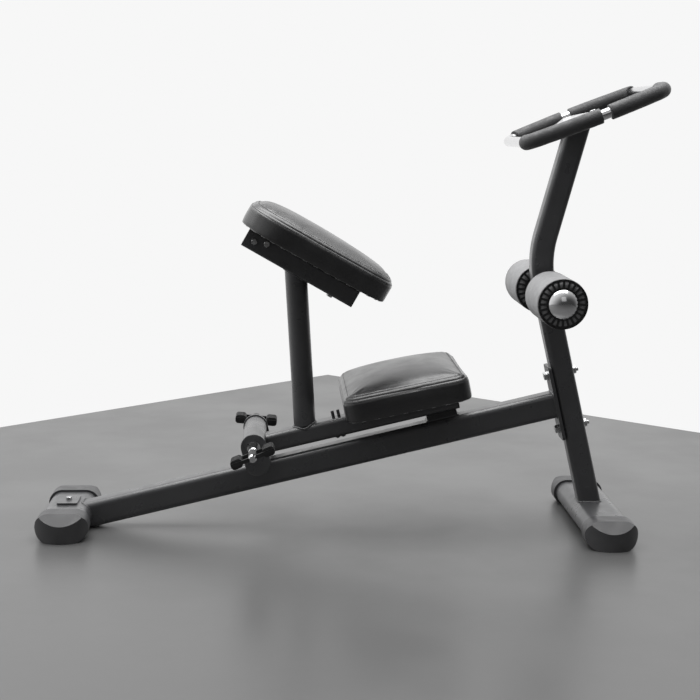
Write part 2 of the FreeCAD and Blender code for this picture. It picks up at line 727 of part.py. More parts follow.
def cradle_plate():
    """Cross plate welded on the beam that joins the two cheeks."""
    half = CRADLE_LENGTH / 2
    return on_beam(block(PIVOT_ALONG - half, PIVOT_ALONG + half, -CHEEK_INNER, CHEEK_INNER,
                         BEAM_TOP, BEAM_TOP + CRADLE_THICK))


def both_sides(shape):
    return [shape, mirrored(shape)]


# ---------------------------------------------------------------------- carriage
def carriage_tube():
    top = CARRIAGE_BOTTOM + CARRIAGE_HEIGHT
    tube = square_tube(PIVOT_ALONG, CARRIAGE_END, CARRIAGE_WIDTH, CARRIAGE_BOTTOM, top,
                       CARRIAGE_CORNER, TUBE_WALL)
    tube = tube.cut(across(PIVOT_ALONG, PIVOT_ABOVE, -BIG, BIG, PIVOT_TUBE_R))
    tube = tube.cut(block(-BIG, PIVOT_ALONG + 8, -BIG, BIG, -BIG, BIG))
    for side in (-1, 1):
        along = CARRIAGE_BOLT_ALONG + side * CARRIAGE_BOLT_SPREAD / 2
        tube = tube.cut(bolt_hole(Vector(along, 0, top + 1), Vector(0, 0, 1), 80, STUD_R))
    tube = sorted(tube.Solids, key=lambda solid: solid.Volume)[-1]
    return on_beam(tube)


def carriage_fasteners():
    """Two studs that stand up out of the carriage tube, held by nuts underneath."""
    top = CARRIAGE_BOTTOM + CARRIAGE_HEIGHT
    studs = []
    nuts = []
    for side in (-1, 1):
        along = CARRIAGE_BOLT_ALONG + side * CARRIAGE_BOLT_SPREAD / 2
        foot = Vector(along, 0, CARRIAGE_BOTTOM - STUD_DROP)
        stud = Part.makeCylinder(STUD_R, top + STUD_RISE - foot.z, foot)
        stud = stud.makeChamfer(1, [edge for edge in stud.Edges if isinstance(edge.Curve, Part.Circle)])
        studs.append(on_beam(stud))
        nuts.append(on_beam(nut(Vector(along, 0, CARRIAGE_BOTTOM), Vector(0, 0, -1), STUD_R, 12, 5)))
    return studs, nuts


def carriage_cap():
    """Plastic plug in the carriage tube's front end."""
    top = CARRIAGE_BOTTOM + CARRIAGE_HEIGHT
    head = rounded_bar(CARRIAGE_END, CARRIAGE_END + 4, CARRIAGE_WIDTH, CARRIAGE_BOTTOM, top,
                       CARRIAGE_CORNER)
    inset = TUBE_WALL + FIT
    plug = rounded_bar(CARRIAGE_END - 18, CARRIAGE_END, CARRIAGE_WIDTH - 2 * inset, CARRIAGE_BOTTOM + inset,
                       top - inset, CARRIAGE_CORNER - inset)
    return on_beam(head.fuse(plug).removeSplitter())


def seat_post():
    """Round post from the carriage tube's top to the seat channel's underside."""
    lean = math.radians(SEAT_POST_LEAN)
    direction = Vector(-math.sin(lean), 0, math.cos(lean))
    base = Vector(SEAT_POST_X, 0, SEAT_POST_Z) - direction * 100
    post = Part.makeCylinder(SEAT_POST_R, 600, base, direction)
    post = post.cut(Part.makeCylinder(SEAT_POST_R - TUBE_WALL, 602, base - direction, direction))
    post = post.cut(on_beam(block(-BIG, BIG, -BIG, BIG, -BIG, CARRIAGE_BOTTOM + CARRIAGE_HEIGHT)))
    post = post.cut(on_seat(block(-BIG, BIG, -BIG, BIG, -CHANNEL_HEIGHT, BIG)))
    return sorted(post.Solids, key=lambda solid: solid.Volume)[-1]


def seat_bolt_points():
    """Heads of the pad bolts: the rear one inside the channel, the front one under it."""
    rear, front = SEAT_BOLTS
    return [Vector(rear, 0, -TUBE_WALL), Vector(front, 0, -CHANNEL_HEIGHT)]


def seat_channel():
    """Rectangular tube under the seat, with holes for the pad bolts."""
    x0 = CHANNEL_MID - CHANNEL_LENGTH / 2
    x1 = CHANNEL_MID + CHANNEL_LENGTH / 2
    tube = square_tube(x0, x1, CHANNEL_WIDTH, -CHANNEL_HEIGHT, 0, 5, TUBE_WALL)
    for base in seat_bolt_points():
        tube = tube.cut(Part.makeCylinder(4 + FIT, 80, base - Vector(0, 0, 1), Vector(0, 0, 1)))
    access = Vector(SEAT_BOLTS[0], 0, -CHANNEL_HEIGHT - 1)
    tube = tube.cut(Part.makeCylinder(ACCESS_HOLE_R, TUBE_WALL + 2, access))
    for along, depth in seat_side_bolts():
        tube = tube.cut(across(along, depth, -BIG, BIG, 4 + FIT))
    return on_seat(tube)


def seat_side_bolts():
    """Place along the channel and height of the two bolts that cross it."""
    start = CHANNEL_MID - CHANNEL_LENGTH / 2
    return [(start + along, -depth) for along, depth in CROSS_BOLTS]


def channel_plugs():
    plugs = []
    inset = TUBE_WALL + FIT
    for side in (-1, 1):
        face = CHANNEL_MID + side * CHANNEL_LENGTH / 2
        low = min(face, face - side * 10)
        plug = rounded_bar(low, low + 10, CHANNEL_WIDTH - 2 * inset, -CHANNEL_HEIGHT + inset, -inset, 2.5)
        plugs.append(on_seat(plug))
    return plugs


def seat_plate():
    """Flat steel strip between the channel and the seat board."""
    plate = block(SEAT_PLATE_REAR, SEAT_PLATE_FRONT, -SEAT_PLATE_HALF, SEAT_PLATE_HALF, 0, SEAT_BOTTOM)
    plate = plate.makeFillet(8, edges_along(plate, Vector(0, 0, 1)))
    for base in seat_bolt_points():
        plate = plate.cut(Part.makeCylinder(4 + FIT, 80, base, Vector(0, 0, 1)))
    return on_seat(plate)


def seat_outline(inset):
    """Plan of the seat: wide round tail, narrower round nose."""
    half = SEAT_LENGTH / 2 - inset
    rear = SEAT_REAR_WIDTH / 2 - inset
    front = SEAT_FRONT_WIDTH / 2 - inset
    points = [
        Vector(-half, 0, 0),
        Vector(-half, -rear, 0),
        Vector(half, -front, 0),
        Vector(half, front, 0),
        Vector(-half, rear, 0),
        Vector(-half, 0, 0),
    ]
    tail = SEAT_TAIL_RADIUS - inset
    nose = SEAT_NOSE_RADIUS - inset
    return Part.Face(Part.Wire(fillet_path(points, [0, tail, nose, nose, tail, 0], False)))


def knee_outline(inset):
    half = KNEE_LENGTH / 2 - inset
    side = KNEE_WIDTH / 2 - inset
    points = [
        Vector(-half, 0, 0),
        Vector(-half, -side, 0),
        Vector(half, -side, 0),
        Vector(half, side, 0),
        Vector(-half, side, 0),
        Vector(-half, 0, 0),
    ]
    corner = KNEE_CORNER - inset * 0.5
    return Part.Face(Part.Wire(fillet_path(points, [0, corner, corner, corner, corner, 0], False)))


def cushion(outline, bottom, edge, crown, board_top):
    """A plain cushion: straight sides, a stepped crown and a pocket for its board."""
    solid = outline(0).extrude(Vector(0, 0, edge - bottom))
    solid.translate(Vector(0, 0, bottom))
    steps = 3
    for step in range(1, steps + 1):
        low = edge + crown * (step - 1) / steps
        layer = outline(14.0 * step * step / steps + 6).extrude(Vector(0, 0, crown / steps))
        layer.translate(Vector(0, 0, low))
        solid = solid.fuse(layer)
    pocket = outline(BOARD_INSET - 1).extrude(Vector(0, 0, board_top - bottom + 1))
    pocket.translate(Vector(0, 0, bottom - 1))
    return solid.cut(pocket)


def board(outline, bottom, holes):
    panel = outline(BOARD_INSET).extrude(Vector(0, 0, BOARD_THICK))
    panel.translate(Vector(0, 0, bottom))
    for base in holes:
        panel = panel.cut(Part.makeCylinder(4 + FIT, 200, base, Vector(0, 0, 1)))
    return panel


def knee_plate():
    """Steel plate that carries the knee pad, under its board."""
    plate = block(-110, 100, -70, 70, -KNEE_PLATE, 0)
    plate = plate.makeFillet(10, edges_along(plate, Vector(0, 0, 1)))
    for base in knee_bolt_points():
        plate = plate.cut(Part.makeCylinder(4 + FIT, 80, base, Vector(0, 0, 1)))
    return on_knee(plate)


def knee_risers():
    """Two packers that fill the wedge between the carriage tube and the plate."""
    below = on_beam(block(-BIG, BIG, -BIG, BIG, -BIG, CARRIAGE_BOTTOM + CARRIAGE_HEIGHT))
    risers = []
    for start, end in ((-100, -60), (55, 95)):
        riser = on_knee(block(start, end, -20, 20, -60, -KNEE_PLATE))
        risers.append(riser.cut(below))
    return risers


def knee_bolt_points():
    """Bolt centres on the plate's underside, outside the carriage tube."""
    points = []
    for along in (-80, 70):
        for side in (-1, 1):
            points.append(Vector(along, side * 50, -KNEE_PLATE))
    return points


# ------------------------------------------------------------------------- build
def build_feet():
    plate, screw = rear_anchor()
    save("rear_anchor_plate", plate)
    save("rear_anchor_screw", screw)
    save("rear_foot_tube", foot_tube(0, REAR_FOOT_WIDTH).cut(anchor_hole()))
    save("front_foot_tube", foot_tube(FRONT_FOOT_X, FRONT_FOOT_WIDTH))
    for name, x, width in (("rear", 0, REAR_FOOT_WIDTH), ("front", FRONT_FOOT_X, FRONT_FOOT_WIDTH)):
        cap = foot_cap(x, width)
        save(name + "_foot_cap_right", cap)
        save(name + "_foot_cap_left", mirrored(cap))


def build_frame():
    save("main_beam", main_beam())
    save("upright_post", upright())
    save("beam_flange", beam_flange())
    bolts, nuts, washers = flange_fasteners()
    save("flange_bolts", bolts)
    save("flange_nuts", nuts)
    save("flange_washers", washers)


def build_handle():
    edges = handle_path()
    loop = handle_tube(edges)
    save("handle_loop", on_handle(loop))
    for node, shape in handle_grips(edges).items():
        save(node, on_handle(shape))
    upper, lower, bolts, nuts = handle_plates(loop)
    save("handle_cross_plate", on_handle(upper))
    save("post_top_plate", on_handle(lower))
    save("handle_bolts", [on_handle(item) for item in bolts])
    save("handle_nuts", [on_handle(item) for item in nuts])


def build_rollers():
    foam, core, rings = roller_pieces()
    spacer = sleeve(ROLLER_X, ROLLER_Z, POST_SIZE / 2, ROLLER_INNER - 0.6, 17, AXLE_R + FIT)
    save("roller_axle", across(ROLLER_X, ROLLER_Z, -ROLLER_OUTER - 0.5, ROLLER_OUTER + 0.5, AXLE_R))
    save("roller_spacers", both_sides(spacer))
    save("roller_domes", both_sides(dome()))
    save("roller_foam_left", foam)
    save("roller_core_left", core)
    save("roller_rings_left", rings)
    save("roller_foam_right", mirrored(foam))
    save("roller_core_right", mirrored(core))
    save("roller_rings_right", [mirrored(ring) for ring in rings])


def build_pivot():
    plate = on_beam(cheek())
    bracket = cradle_plate().fuse(both_sides(plate))
    save("pivot_bracket", bracket.removeSplitter())
    save("pivot_shaft", on_beam(pivot_shaft()))
    outer = CHEEK_INNER + CHEEK_THICK
    collar = on_beam(sleeve(PIVOT_ALONG, PIVOT_ABOVE, outer, outer + 9, 16, SHAFT_R + FIT))
    save("shaft_collars", both_sides(collar))
    caps = []
    for side in SIDES:
        body, treads, cap = pedal(side)
        save("pedal_body_" + side, body)
        save("pedal_treads_" + side, treads)
        caps.append(cap)
    save("pedal_end_nuts", caps)
    top = BEAM_TOP + BUMPER_PLATE
    end = BUMPER_START + BUMPER_LENGTH
    half = BUMPER_WIDTH / 2
    rubber = block(BUMPER_START, end, -half, half, top, CARRIAGE_BOTTOM - GAP)
    save("bumper_plate", on_beam(block(BUMPER_START - 4, end + 4, -half, half, BEAM_TOP, top)))
    save("bumper_block", on_beam(rubber.makeFillet(3, edges_along(rubber, Vector(0, 0, 1)))))


def build_carriage():
    bore = PIVOT_TUBE_R - PIVOT_TUBE_WALL
    tube = sleeve(PIVOT_ALONG, PIVOT_ABOVE, -PIVOT_HALF, PIVOT_HALF, PIVOT_TUBE_R, bore)
    bush = sleeve(PIVOT_ALONG, PIVOT_ABOVE, PIVOT_HALF - BUSH_LENGTH, PIVOT_HALF, bore, SHAFT_R + FIT)
    flange = sleeve(PIVOT_ALONG, PIVOT_ABOVE, PIVOT_HALF, CHEEK_INNER - GAP, CHEEK_R - 4, SHAFT_R + FIT)
    save("pivot_tube", on_beam(tube))
    save("pivot_bushes", both_sides(on_beam(bush.fuse(flange))))
    save("carriage_tube", carriage_tube())
    save("carriage_end_cap", carriage_cap())
    bolts, nuts = carriage_fasteners()
    save("carriage_bolts", bolts)
    save("carriage_nuts", nuts)
    save("seat_post", seat_post())


def build_seat():
    save("seat_channel", seat_channel())
    save("seat_channel_plugs", channel_plugs())
    save("seat_plate", seat_plate())
    holes = seat_bolt_points()
    bolt_top = SEAT_BOTTOM + BOARD_THICK - 1
    fasteners = [on_seat(bolt(base, Vector(0, 0, -1), bolt_top - base.z, 4, 13, 6)) for base in holes]
    save("seat_bolts", fasteners)
    cross = []
    for along, depth in seat_side_bolts():
        base = Vector(along, -CHANNEL_WIDTH / 2, depth)
        cross.append(on_seat(bolt(base, Vector(0, -1, 0), CHANNEL_WIDTH + 6, 4, 13, 6)))
    save("seat_cross_bolts", cross)
    save("seat_board", on_seat(board(seat_outline, SEAT_BOTTOM, holes)))
    pad = cushion(seat_outline, SEAT_BOTTOM, SEAT_EDGE, SEAT_CROWN, SEAT_BOTTOM + BOARD_THICK)
    save("seat_pad", on_seat(pad))


def build_knee_pad():
    save("knee_bracket", knee_plate().fuse(knee_risers()).removeSplitter())
    holes = knee_bolt_points()
    length = KNEE_PLATE + BOARD_THICK - 1
    fasteners = [on_knee(bolt(base, Vector(0, 0, -1), length, 4, 13, 5)) for base in holes]
    save("knee_bolts", fasteners)
    save("knee_board", on_knee(board(knee_outline, 0, holes)))
    pad = cushion(knee_outline, 0, KNEE_EDGE, KNEE_CROWN, BOARD_THICK)
    save("knee_pad", on_knee(pad))


os.makedirs("parts", exist_ok=True)
build_feet()
build_frame()
build_handle()
build_rollers()
build_pivot()
build_carriage()
build_seat()
build_knee_pad()
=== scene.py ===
import math

import bpy
import numpy as np
from mathutils import Matrix, Vector, noise


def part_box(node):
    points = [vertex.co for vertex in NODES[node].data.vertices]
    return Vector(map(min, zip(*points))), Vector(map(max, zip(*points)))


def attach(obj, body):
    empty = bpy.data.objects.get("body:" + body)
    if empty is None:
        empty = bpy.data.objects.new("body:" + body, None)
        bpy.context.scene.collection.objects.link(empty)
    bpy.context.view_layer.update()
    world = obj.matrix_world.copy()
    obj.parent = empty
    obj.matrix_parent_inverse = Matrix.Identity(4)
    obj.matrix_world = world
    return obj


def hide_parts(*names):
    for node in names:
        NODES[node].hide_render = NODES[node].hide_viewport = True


# Looks of the seated stretch trainer. The CAD nodes keep their shapes and get
# procedural materials; the two pads, the foam rollers and the handle grips are
# built here, with welds, stitching and staples. Metres, in the row frame.

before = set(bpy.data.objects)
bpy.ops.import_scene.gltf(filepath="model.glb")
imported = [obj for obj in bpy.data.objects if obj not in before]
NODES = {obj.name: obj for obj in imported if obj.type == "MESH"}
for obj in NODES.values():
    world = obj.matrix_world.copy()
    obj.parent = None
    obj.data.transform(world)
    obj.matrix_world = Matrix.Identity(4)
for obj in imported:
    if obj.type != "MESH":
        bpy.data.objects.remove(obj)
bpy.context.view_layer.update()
MM = 0.001
UP = Vector((0, 0, 1))


# ------------------------------------------------------------------- node graphs
def shade(base, factor, lift=0.0):
    return tuple(lift + factor * part for part in base)


class Graph:
    """A material's node tree, with short calls for the nodes that are used here."""

    def __init__(self, name, roughness=0.5, metallic=0.0, coat=0.0, coat_roughness=0.2, sheen=0.0, ior=1.5):
        self.material = bpy.data.materials.new(name)
        self.material.use_nodes = True
        self.tree = self.material.node_tree
        self.shader = self.tree.nodes["Principled BSDF"]
        inputs = self.shader.inputs
        inputs["Roughness"].default_value = roughness
        inputs["Metallic"].default_value = metallic
        inputs["Coat Weight"].default_value = coat
        inputs["Coat Roughness"].default_value = coat_roughness
        inputs["Sheen Weight"].default_value = sheen
        inputs["IOR"].default_value = ior
        self.place = self.add("ShaderNodeTexCoord").outputs["Object"]

    def add(self, kind):
        return self.tree.nodes.new(kind)

    def link(self, source, target):
        self.tree.links.new(source, target)

    def stretched(self, scale):
        """The object's coordinates, scaled by a different amount along each axis."""
        node = self.add("ShaderNodeMapping")
        node.inputs["Scale"].default_value = scale
        self.link(self.place, node.inputs["Vector"])
        return node.outputs["Vector"]

    def noise(self, scale, detail=3.0, distortion=0.0, place=None):
        node = self.add("ShaderNodeTexNoise")
        node.inputs["Scale"].default_value = scale
        node.inputs["Detail"].default_value = detail
        node.inputs["Distortion"].default_value = distortion
        self.link(place or self.place, node.inputs["Vector"])
        return node.outputs["Fac"]

    def cells(self, scale, feature="F1", place=None):
        node = self.add("ShaderNodeTexVoronoi")
        node.feature = feature
        node.inputs["Scale"].default_value = scale
        self.link(place or self.place, node.inputs["Vector"])
        return node.outputs["Distance"]

    def waves(self, scale, distortion=1.0, axis="Z", place=None):
        node = self.add("ShaderNodeTexWave")
        node.bands_direction = axis
        node.inputs["Scale"].default_value = scale
        node.inputs["Distortion"].default_value = distortion
        node.inputs["Detail"].default_value = 2.0
        self.link(place or self.place, node.inputs["Vector"])
        return node.outputs["Fac"]

    def fit(self, value, low, high, out_low=0.0, out_high=1.0):
        """Maps low..high to out_low..out_high, with an S curve and no overshoot."""
        node = self.add("ShaderNodeMapRange")
        node.interpolation_type = "SMOOTHSTEP"
        self.link(value, node.inputs["Value"])
        ends = {"From Min": low, "From Max": high, "To Min": out_low, "To Max": out_high}
        for key, number in ends.items():
            node.inputs[key].default_value = number
        return node.outputs["Result"]

    def math(self, operation, first, second):
        node = self.add("ShaderNodeMath")
        node.operation = operation
        for socket, value in zip(node.inputs, (first, second)):
            if isinstance(value, (int, float)):
                socket.default_value = value
            else:
                self.link(value, socket)
        return node.outputs[0]

    def mix(self, factor, first, second):
        """Mixes two colours; each is a grey value, an (r, g, b) or a socket."""
        node = self.add("ShaderNodeMix")
        node.data_type = "RGBA"
        self.link(factor, node.inputs["Factor"])
        for key, value in (("A", first), ("B", second)):
            socket = [item for item in node.inputs if item.name == key and item.type == "RGBA"][0]
            if isinstance(value, (int, float)):
                socket.default_value = (value, value, value, 1)
            elif isinstance(value, tuple):
                socket.default_value = (*value, 1)
            else:
                self.link(value, socket)
        return [item for item in node.outputs if item.type == "RGBA"][0]

    def upward(self):
        """1 where the surface faces up, 0 where it stands upright or faces down."""
        normal = self.add("ShaderNodeNewGeometry").outputs["Normal"]
        parts = self.add("ShaderNodeSeparateXYZ")
        self.link(normal, parts.inputs[0])
        return self.fit(parts.outputs["Z"], 0.3, 1.0)

    def color(self, socket):
        self.link(socket, self.shader.inputs["Base Color"])

    def roughness(self, socket):
        self.link(socket, self.shader.inputs["Roughness"])

    def bump(self, *layers):
        """Stacks bump layers, each (height socket, depth in metres, strength)."""
        previous = None
        for height, depth, strength in layers:
            node = self.add("ShaderNodeBump")
            node.inputs["Distance"].default_value = depth
            node.inputs["Strength"].default_value = strength
            self.link(height, node.inputs["Height"])
            if previous is not None:
                self.link(previous, node.inputs["Normal"])
            previous = node.outputs["Normal"]
        self.link(previous, self.shader.inputs["Normal"])


# --------------------------------------------------------------------- materials
def painted(name, base, worn, rough_low, rough_high):
    """Satin powder coat: faint mottling, fine scuffs, dust on top and orange peel."""
    graph = Graph(name, coat=0.25, coat_roughness=0.28)
    mottled = graph.mix(graph.noise(14, 4), shade(base, 0.82), shade(base, 1.2))
    scratch = graph.fit(graph.noise(60, 5, 0.4, graph.stretched((0.35, 3.0, 3.0))), 0.69, 0.76)
    scuffed = graph.mix(graph.math("MULTIPLY", scratch, 0.35), mottled, worn)
    dust = graph.math("MULTIPLY", graph.upward(), graph.fit(graph.noise(9, 6), 0.42, 0.75, 0.0, 0.12))
    graph.color(graph.mix(dust, scuffed, (0.30, 0.295, 0.285)))
    graph.roughness(graph.fit(graph.noise(26, 5), 0.3, 0.7, rough_low, rough_high))
    graph.bump((graph.noise(420, 2), 0.00012, 0.35), (graph.noise(1500, 2), 0.00004, 0.3),
               (scratch, -0.00005, 0.4))
    return graph.material


def chrome(name, base, rough_low, rough_high, brushing):
    """Plated steel with faint polishing lines, haze and fingerprints."""
    graph = Graph(name, metallic=1.0)
    haze = graph.noise(30, 5)
    tinted = graph.mix(haze, shade(base, 0.86), base)
    pits = graph.fit(graph.noise(260, 3), 0.72, 0.80)
    graph.color(graph.mix(graph.math("MULTIPLY", pits, 0.5), tinted, (0.36, 0.35, 0.33)))
    graph.roughness(graph.fit(haze, 0.3, 0.7, rough_low, rough_high))
    lines = graph.noise(brushing, 3, 0.0, graph.stretched((1.0, 0.04, 1.0)))
    graph.bump((lines, 0.00003, 0.3), (pits, -0.00004, 0.5))
    return graph.material


def zinc_plate():
    """Bright zinc fasteners: spangled tone, faint random stains, thread-like turning marks."""
    graph = Graph("zinc_plated_steel", metallic=1.0)
    spangle = graph.cells(240)
    toned = graph.mix(graph.fit(spangle, 0.1, 0.7), (0.66, 0.67, 0.68), (0.50, 0.50, 0.50))
    stain = graph.fit(graph.noise(120, 5), 0.58, 0.72)
    graph.color(graph.mix(graph.math("MULTIPLY", stain, 0.4), toned, (0.30, 0.28, 0.25)))
    graph.roughness(graph.fit(graph.noise(180, 3), 0.3, 0.7, 0.22, 0.42))
    graph.bump((graph.noise(900, 3), 0.00005, 0.4), (spangle, 0.00003, 0.3))
    return graph.material


def foam(name, low, high, pore, roughness):
    """Closed-cell foam: open pores at two scales, soft blotches and handling marks."""
    graph = Graph(name, roughness=roughness, sheen=0.12)
    graph.shader.inputs["Sheen Roughness"].default_value = 0.6
    pores = graph.cells(pore)
    speckled = graph.mix(graph.fit(pores, 0.08, 0.5), low, high)
    blotch = graph.fit(graph.noise(22, 5), 0.35, 0.7, 0.0, 0.35)
    graph.color(graph.mix(blotch, speckled, shade(high, 0.72)))
    graph.roughness(graph.fit(graph.noise(60, 4), 0.3, 0.7, roughness - 0.1, roughness + 0.1))
    graph.bump((pores, 0.0003, 0.35), (graph.noise(pore * 2.6, 3), 0.00015, 0.35),
               (graph.noise(55, 2), 0.0008, 0.25))
    return graph.material


def grained_vinyl(name):
    """Satin black upholstery vinyl: pebble grain, fine creases, faint rubbed patches."""
    graph = Graph(name, coat=0.45, coat_roughness=0.3)
    pebble = graph.cells(620, "SMOOTH_F1")
    crease = graph.cells(260, "DISTANCE_TO_EDGE", graph.stretched((1.0, 1.35, 1.0)))
    rubbed = graph.fit(graph.noise(11, 5), 0.45, 0.75)
    grain = graph.mix(graph.fit(pebble, 0.1, 0.6), (0.020, 0.020, 0.021), (0.009, 0.009, 0.0095))
    graph.color(graph.mix(graph.math("MULTIPLY", rubbed, 0.5), grain, (0.036, 0.036, 0.037)))
    graph.roughness(graph.fit(graph.noise(18, 5), 0.3, 0.7, 0.28, 0.40))
    graph.bump((pebble, 0.00022, 0.4), (graph.fit(crease, 0.0, 0.09), 0.00012, 0.35),
               (graph.noise(34, 3), 0.0009, 0.22))
    return graph.material


def moulded(name, base, roughness, dimple):
    """Moulded plastic or rubber: spark-eroded texture, pale scuffs and flow marks."""
    graph = Graph(name, roughness=roughness)
    flow = graph.noise(24, 4, 0.8)
    toned = graph.mix(flow, shade(base, 0.75), shade(base, 1.3))
    scuff = graph.fit(graph.noise(90, 6, 0.5), 0.66, 0.78)
    graph.color(graph.mix(graph.math("MULTIPLY", scuff, 0.3), toned, shade(base, 2.2, 0.05)))
    graph.roughness(graph.fit(flow, 0.3, 0.7, roughness - 0.07, roughness + 0.09))
    graph.bump((graph.noise(dimple, 3), 0.00012, 0.4), (graph.noise(dimple * 0.22, 2), 0.0002, 0.2))
    return graph.material


def stained_plywood():
    """Black-stained ply: edge layers across the thickness, long grain and pores."""
    graph = Graph("stained_plywood", roughness=0.7)
    layers = graph.waves(95, 0.6, "Z")
    grain = graph.noise(80, 6, 0.6, graph.stretched((0.12, 1.0, 1.0)))
    wood = graph.mix(grain, (0.055, 0.042, 0.030), (0.115, 0.085, 0.058))
    graph.color(graph.mix(graph.math("MULTIPLY", layers, 0.45), wood, (0.035, 0.026, 0.019)))
    graph.roughness(graph.fit(grain, 0.3, 0.7, 0.6, 0.8))
    graph.bump((grain, 0.0003, 0.5),
               (graph.noise(900, 2, 0.0, graph.stretched((0.1, 1.0, 1.0))), 0.0001, 0.4))
    return graph.material


def thread():
    """Waxed upholstery thread with its twist."""
    graph = Graph("waxed_thread", roughness=0.6)
    twist = graph.waves(1500, 0.4, "DIAGONAL")
    graph.color(graph.mix(twist, (0.014, 0.014, 0.0145), (0.030, 0.030, 0.031)))
    graph.roughness(graph.fit(graph.noise(300, 2), 0.3, 0.7, 0.52, 0.68))
    graph.bump((twist, 0.0001, 0.5))
    return graph.material


def weld_bead():
    """Painted-over weld metal: the paint's tone with slag pits and a glossier skin."""
    graph = Graph("painted_weld", coat=0.3, coat_roughness=0.22)
    pits = graph.noise(700, 4)
    graph.color(graph.mix(pits, (0.040, 0.040, 0.042), (0.072, 0.072, 0.075)))
    graph.roughness(graph.fit(graph.noise(200, 3), 0.3, 0.7, 0.28, 0.45))
    graph.bump((pits, 0.0002, 0.5), (graph.noise(1900, 2), 0.00005, 0.4))
    return graph.material


MATERIALS = {
    "frame_paint": painted("charcoal_powder_coat", (0.054, 0.0545, 0.057), (0.18, 0.18, 0.185), 0.26, 0.38),
    "plate_grey": painted("silver_grey_paint", (0.34, 0.34, 0.345), (0.55, 0.55, 0.55), 0.30, 0.42),
    "cap_rubber": moulded("foot_cap_rubber", (0.050, 0.050, 0.052), 0.42, 1100),
    "chrome": chrome("polished_chrome", (0.78, 0.78, 0.79), 0.08, 0.20, 900),
    "zinc": zinc_plate(),
    "grip_foam": foam("handle_grip_foam", (0.020, 0.020, 0.021), (0.036, 0.036, 0.038), 900, 0.62),
    "roller_foam": foam("foot_roller_foam", (0.15, 0.15, 0.153), (0.22, 0.22, 0.225), 700, 0.6),
    "black_plastic": moulded("moulded_black_plastic", (0.012, 0.012, 0.0125), 0.40, 1500),
    "tread_rubber": moulded("ribbed_tread_rubber", (0.020, 0.020, 0.0205), 0.58, 1300),
    "vinyl": grained_vinyl("black_grained_vinyl"),
    "plywood": stained_plywood(),
}
THREAD = thread()
WELD = weld_bead()


def dress_frame():
    """Gives each CAD node the material of its slot."""
    for node in NODES.values():
        slot_name = node.data.materials[0].name.split(".")[0]
        node.data.materials[0] = MATERIALS[slot_name]


# ------------------------------------------------------------------ mesh helpers
def new_piece(name, vertices, faces, material, body):
    """A mesh object that rides on a body, smooth shaded."""
    mesh = bpy.data.meshes.new(name)
    mesh.from_pydata([tuple(point) for point in vertices], [], faces)
    mesh.validate()
    mesh.update()
    mesh.polygons.foreach_set("use_smooth", [True] * len(mesh.polygons))
    piece = bpy.data.objects.new(name, mesh)
    bpy.context.scene.collection.objects.link(piece)
    mesh.materials.append(material)
    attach(piece, body)
    return piece


def only_selected(piece):
    bpy.ops.object.select_all(action="DESELECT")
    piece.select_set(True)
    bpy.context.view_layer.objects.active = piece


def apply_modifier(piece, name):
    only_selected(piece)
    bpy.ops.object.modifier_apply(modifier=name)


def subdivide_smooth(piece):
    modifier = piece.modifiers.new("smooth", "SUBSURF")
    modifier.levels = 1
    modifier.render_levels = 1
    apply_modifier(piece, "smooth")
    piece.data.polygons.foreach_set("use_smooth", [True] * len(piece.data.polygons))


def tube_mesh(path, radii, sides, closed=True):
    """Vertices and faces of a tube along a path, ring-shaped or with closed ends."""
    count = len(path)
    vertices = []
    faces = []
    for index in range(count):
        following = (index + 1) % count if closed else min(index + 1, count - 1)
        previous = index - 1 if closed else max(index - 1, 0)
        ahead = (path[following] - path[previous]).normalized()
        side = ahead.cross(UP)
        if side.length < 0.3:
            side = ahead.cross(Vector((0, 1, 0)))
        side.normalize()
        rise = side.cross(ahead)
        for step in range(sides):
            angle = 2 * math.pi * step / sides
            offset = side * math.cos(angle) + rise * math.sin(angle)
            vertices.append(path[index] + offset * radii[index])
            if closed or index + 1 < count:
                here = index * sides + step
                beside = index * sides + (step + 1) % sides
                over = ((index + 1) % count) * sides
                faces.append((here, over + step, over + (step + 1) % sides, beside))
    if not closed:
        faces.append(tuple(range(sides)))
        faces.append(tuple(reversed(range((count - 1) * sides, count * sides))))
    return vertices, faces


def capsule(centre, along, across, rise, half, radius):
    """A short round-ended bar: 4 rings of 6 points."""
    sides = 6
    rings = ((-half, 0.35), (-half * 0.6, 1.0), (half * 0.6, 1.0), (half, 0.35))
    vertices = []
    for shift, swell in rings:
        for step in range(sides):
            angle = 2 * math.pi * step / sides
            offset = across * math.cos(angle) + rise * math.sin(angle)
            vertices.append(centre + along * shift + offset * radius * swell)
    faces = []
    for ring in range(len(rings) - 1):
        for step in range(sides):
            here = ring * sides + step
            beside = ring * sides + (step + 1) % sides
            faces.append((here, here + sides, beside + sides, beside))
    faces.append(tuple(range(sides)))
    faces.append(tuple(reversed(range((len(rings) - 1) * sides, len(rings) * sides))))
    return vertices, faces


def merge(parts):
    """Joins (vertices, faces) pairs into one."""
    vertices = []
    faces = []
    for part_vertices, part_faces in parts:
        base = len(vertices)
        vertices.extend(part_vertices)
        faces.extend(tuple(base + index for index in face) for face in part_faces)
    return vertices, faces


def mesh_points(piece):
    """Vertices of a mesh object as an array."""
    points = np.zeros(len(piece.data.vertices) * 3)
    piece.data.vertices.foreach_get("co", points)
    return points.reshape(-1, 3)


def set_mesh_points(piece, points):
    piece.data.vertices.foreach_set("co", np.asarray(points, float).ravel())
    piece.data.update()


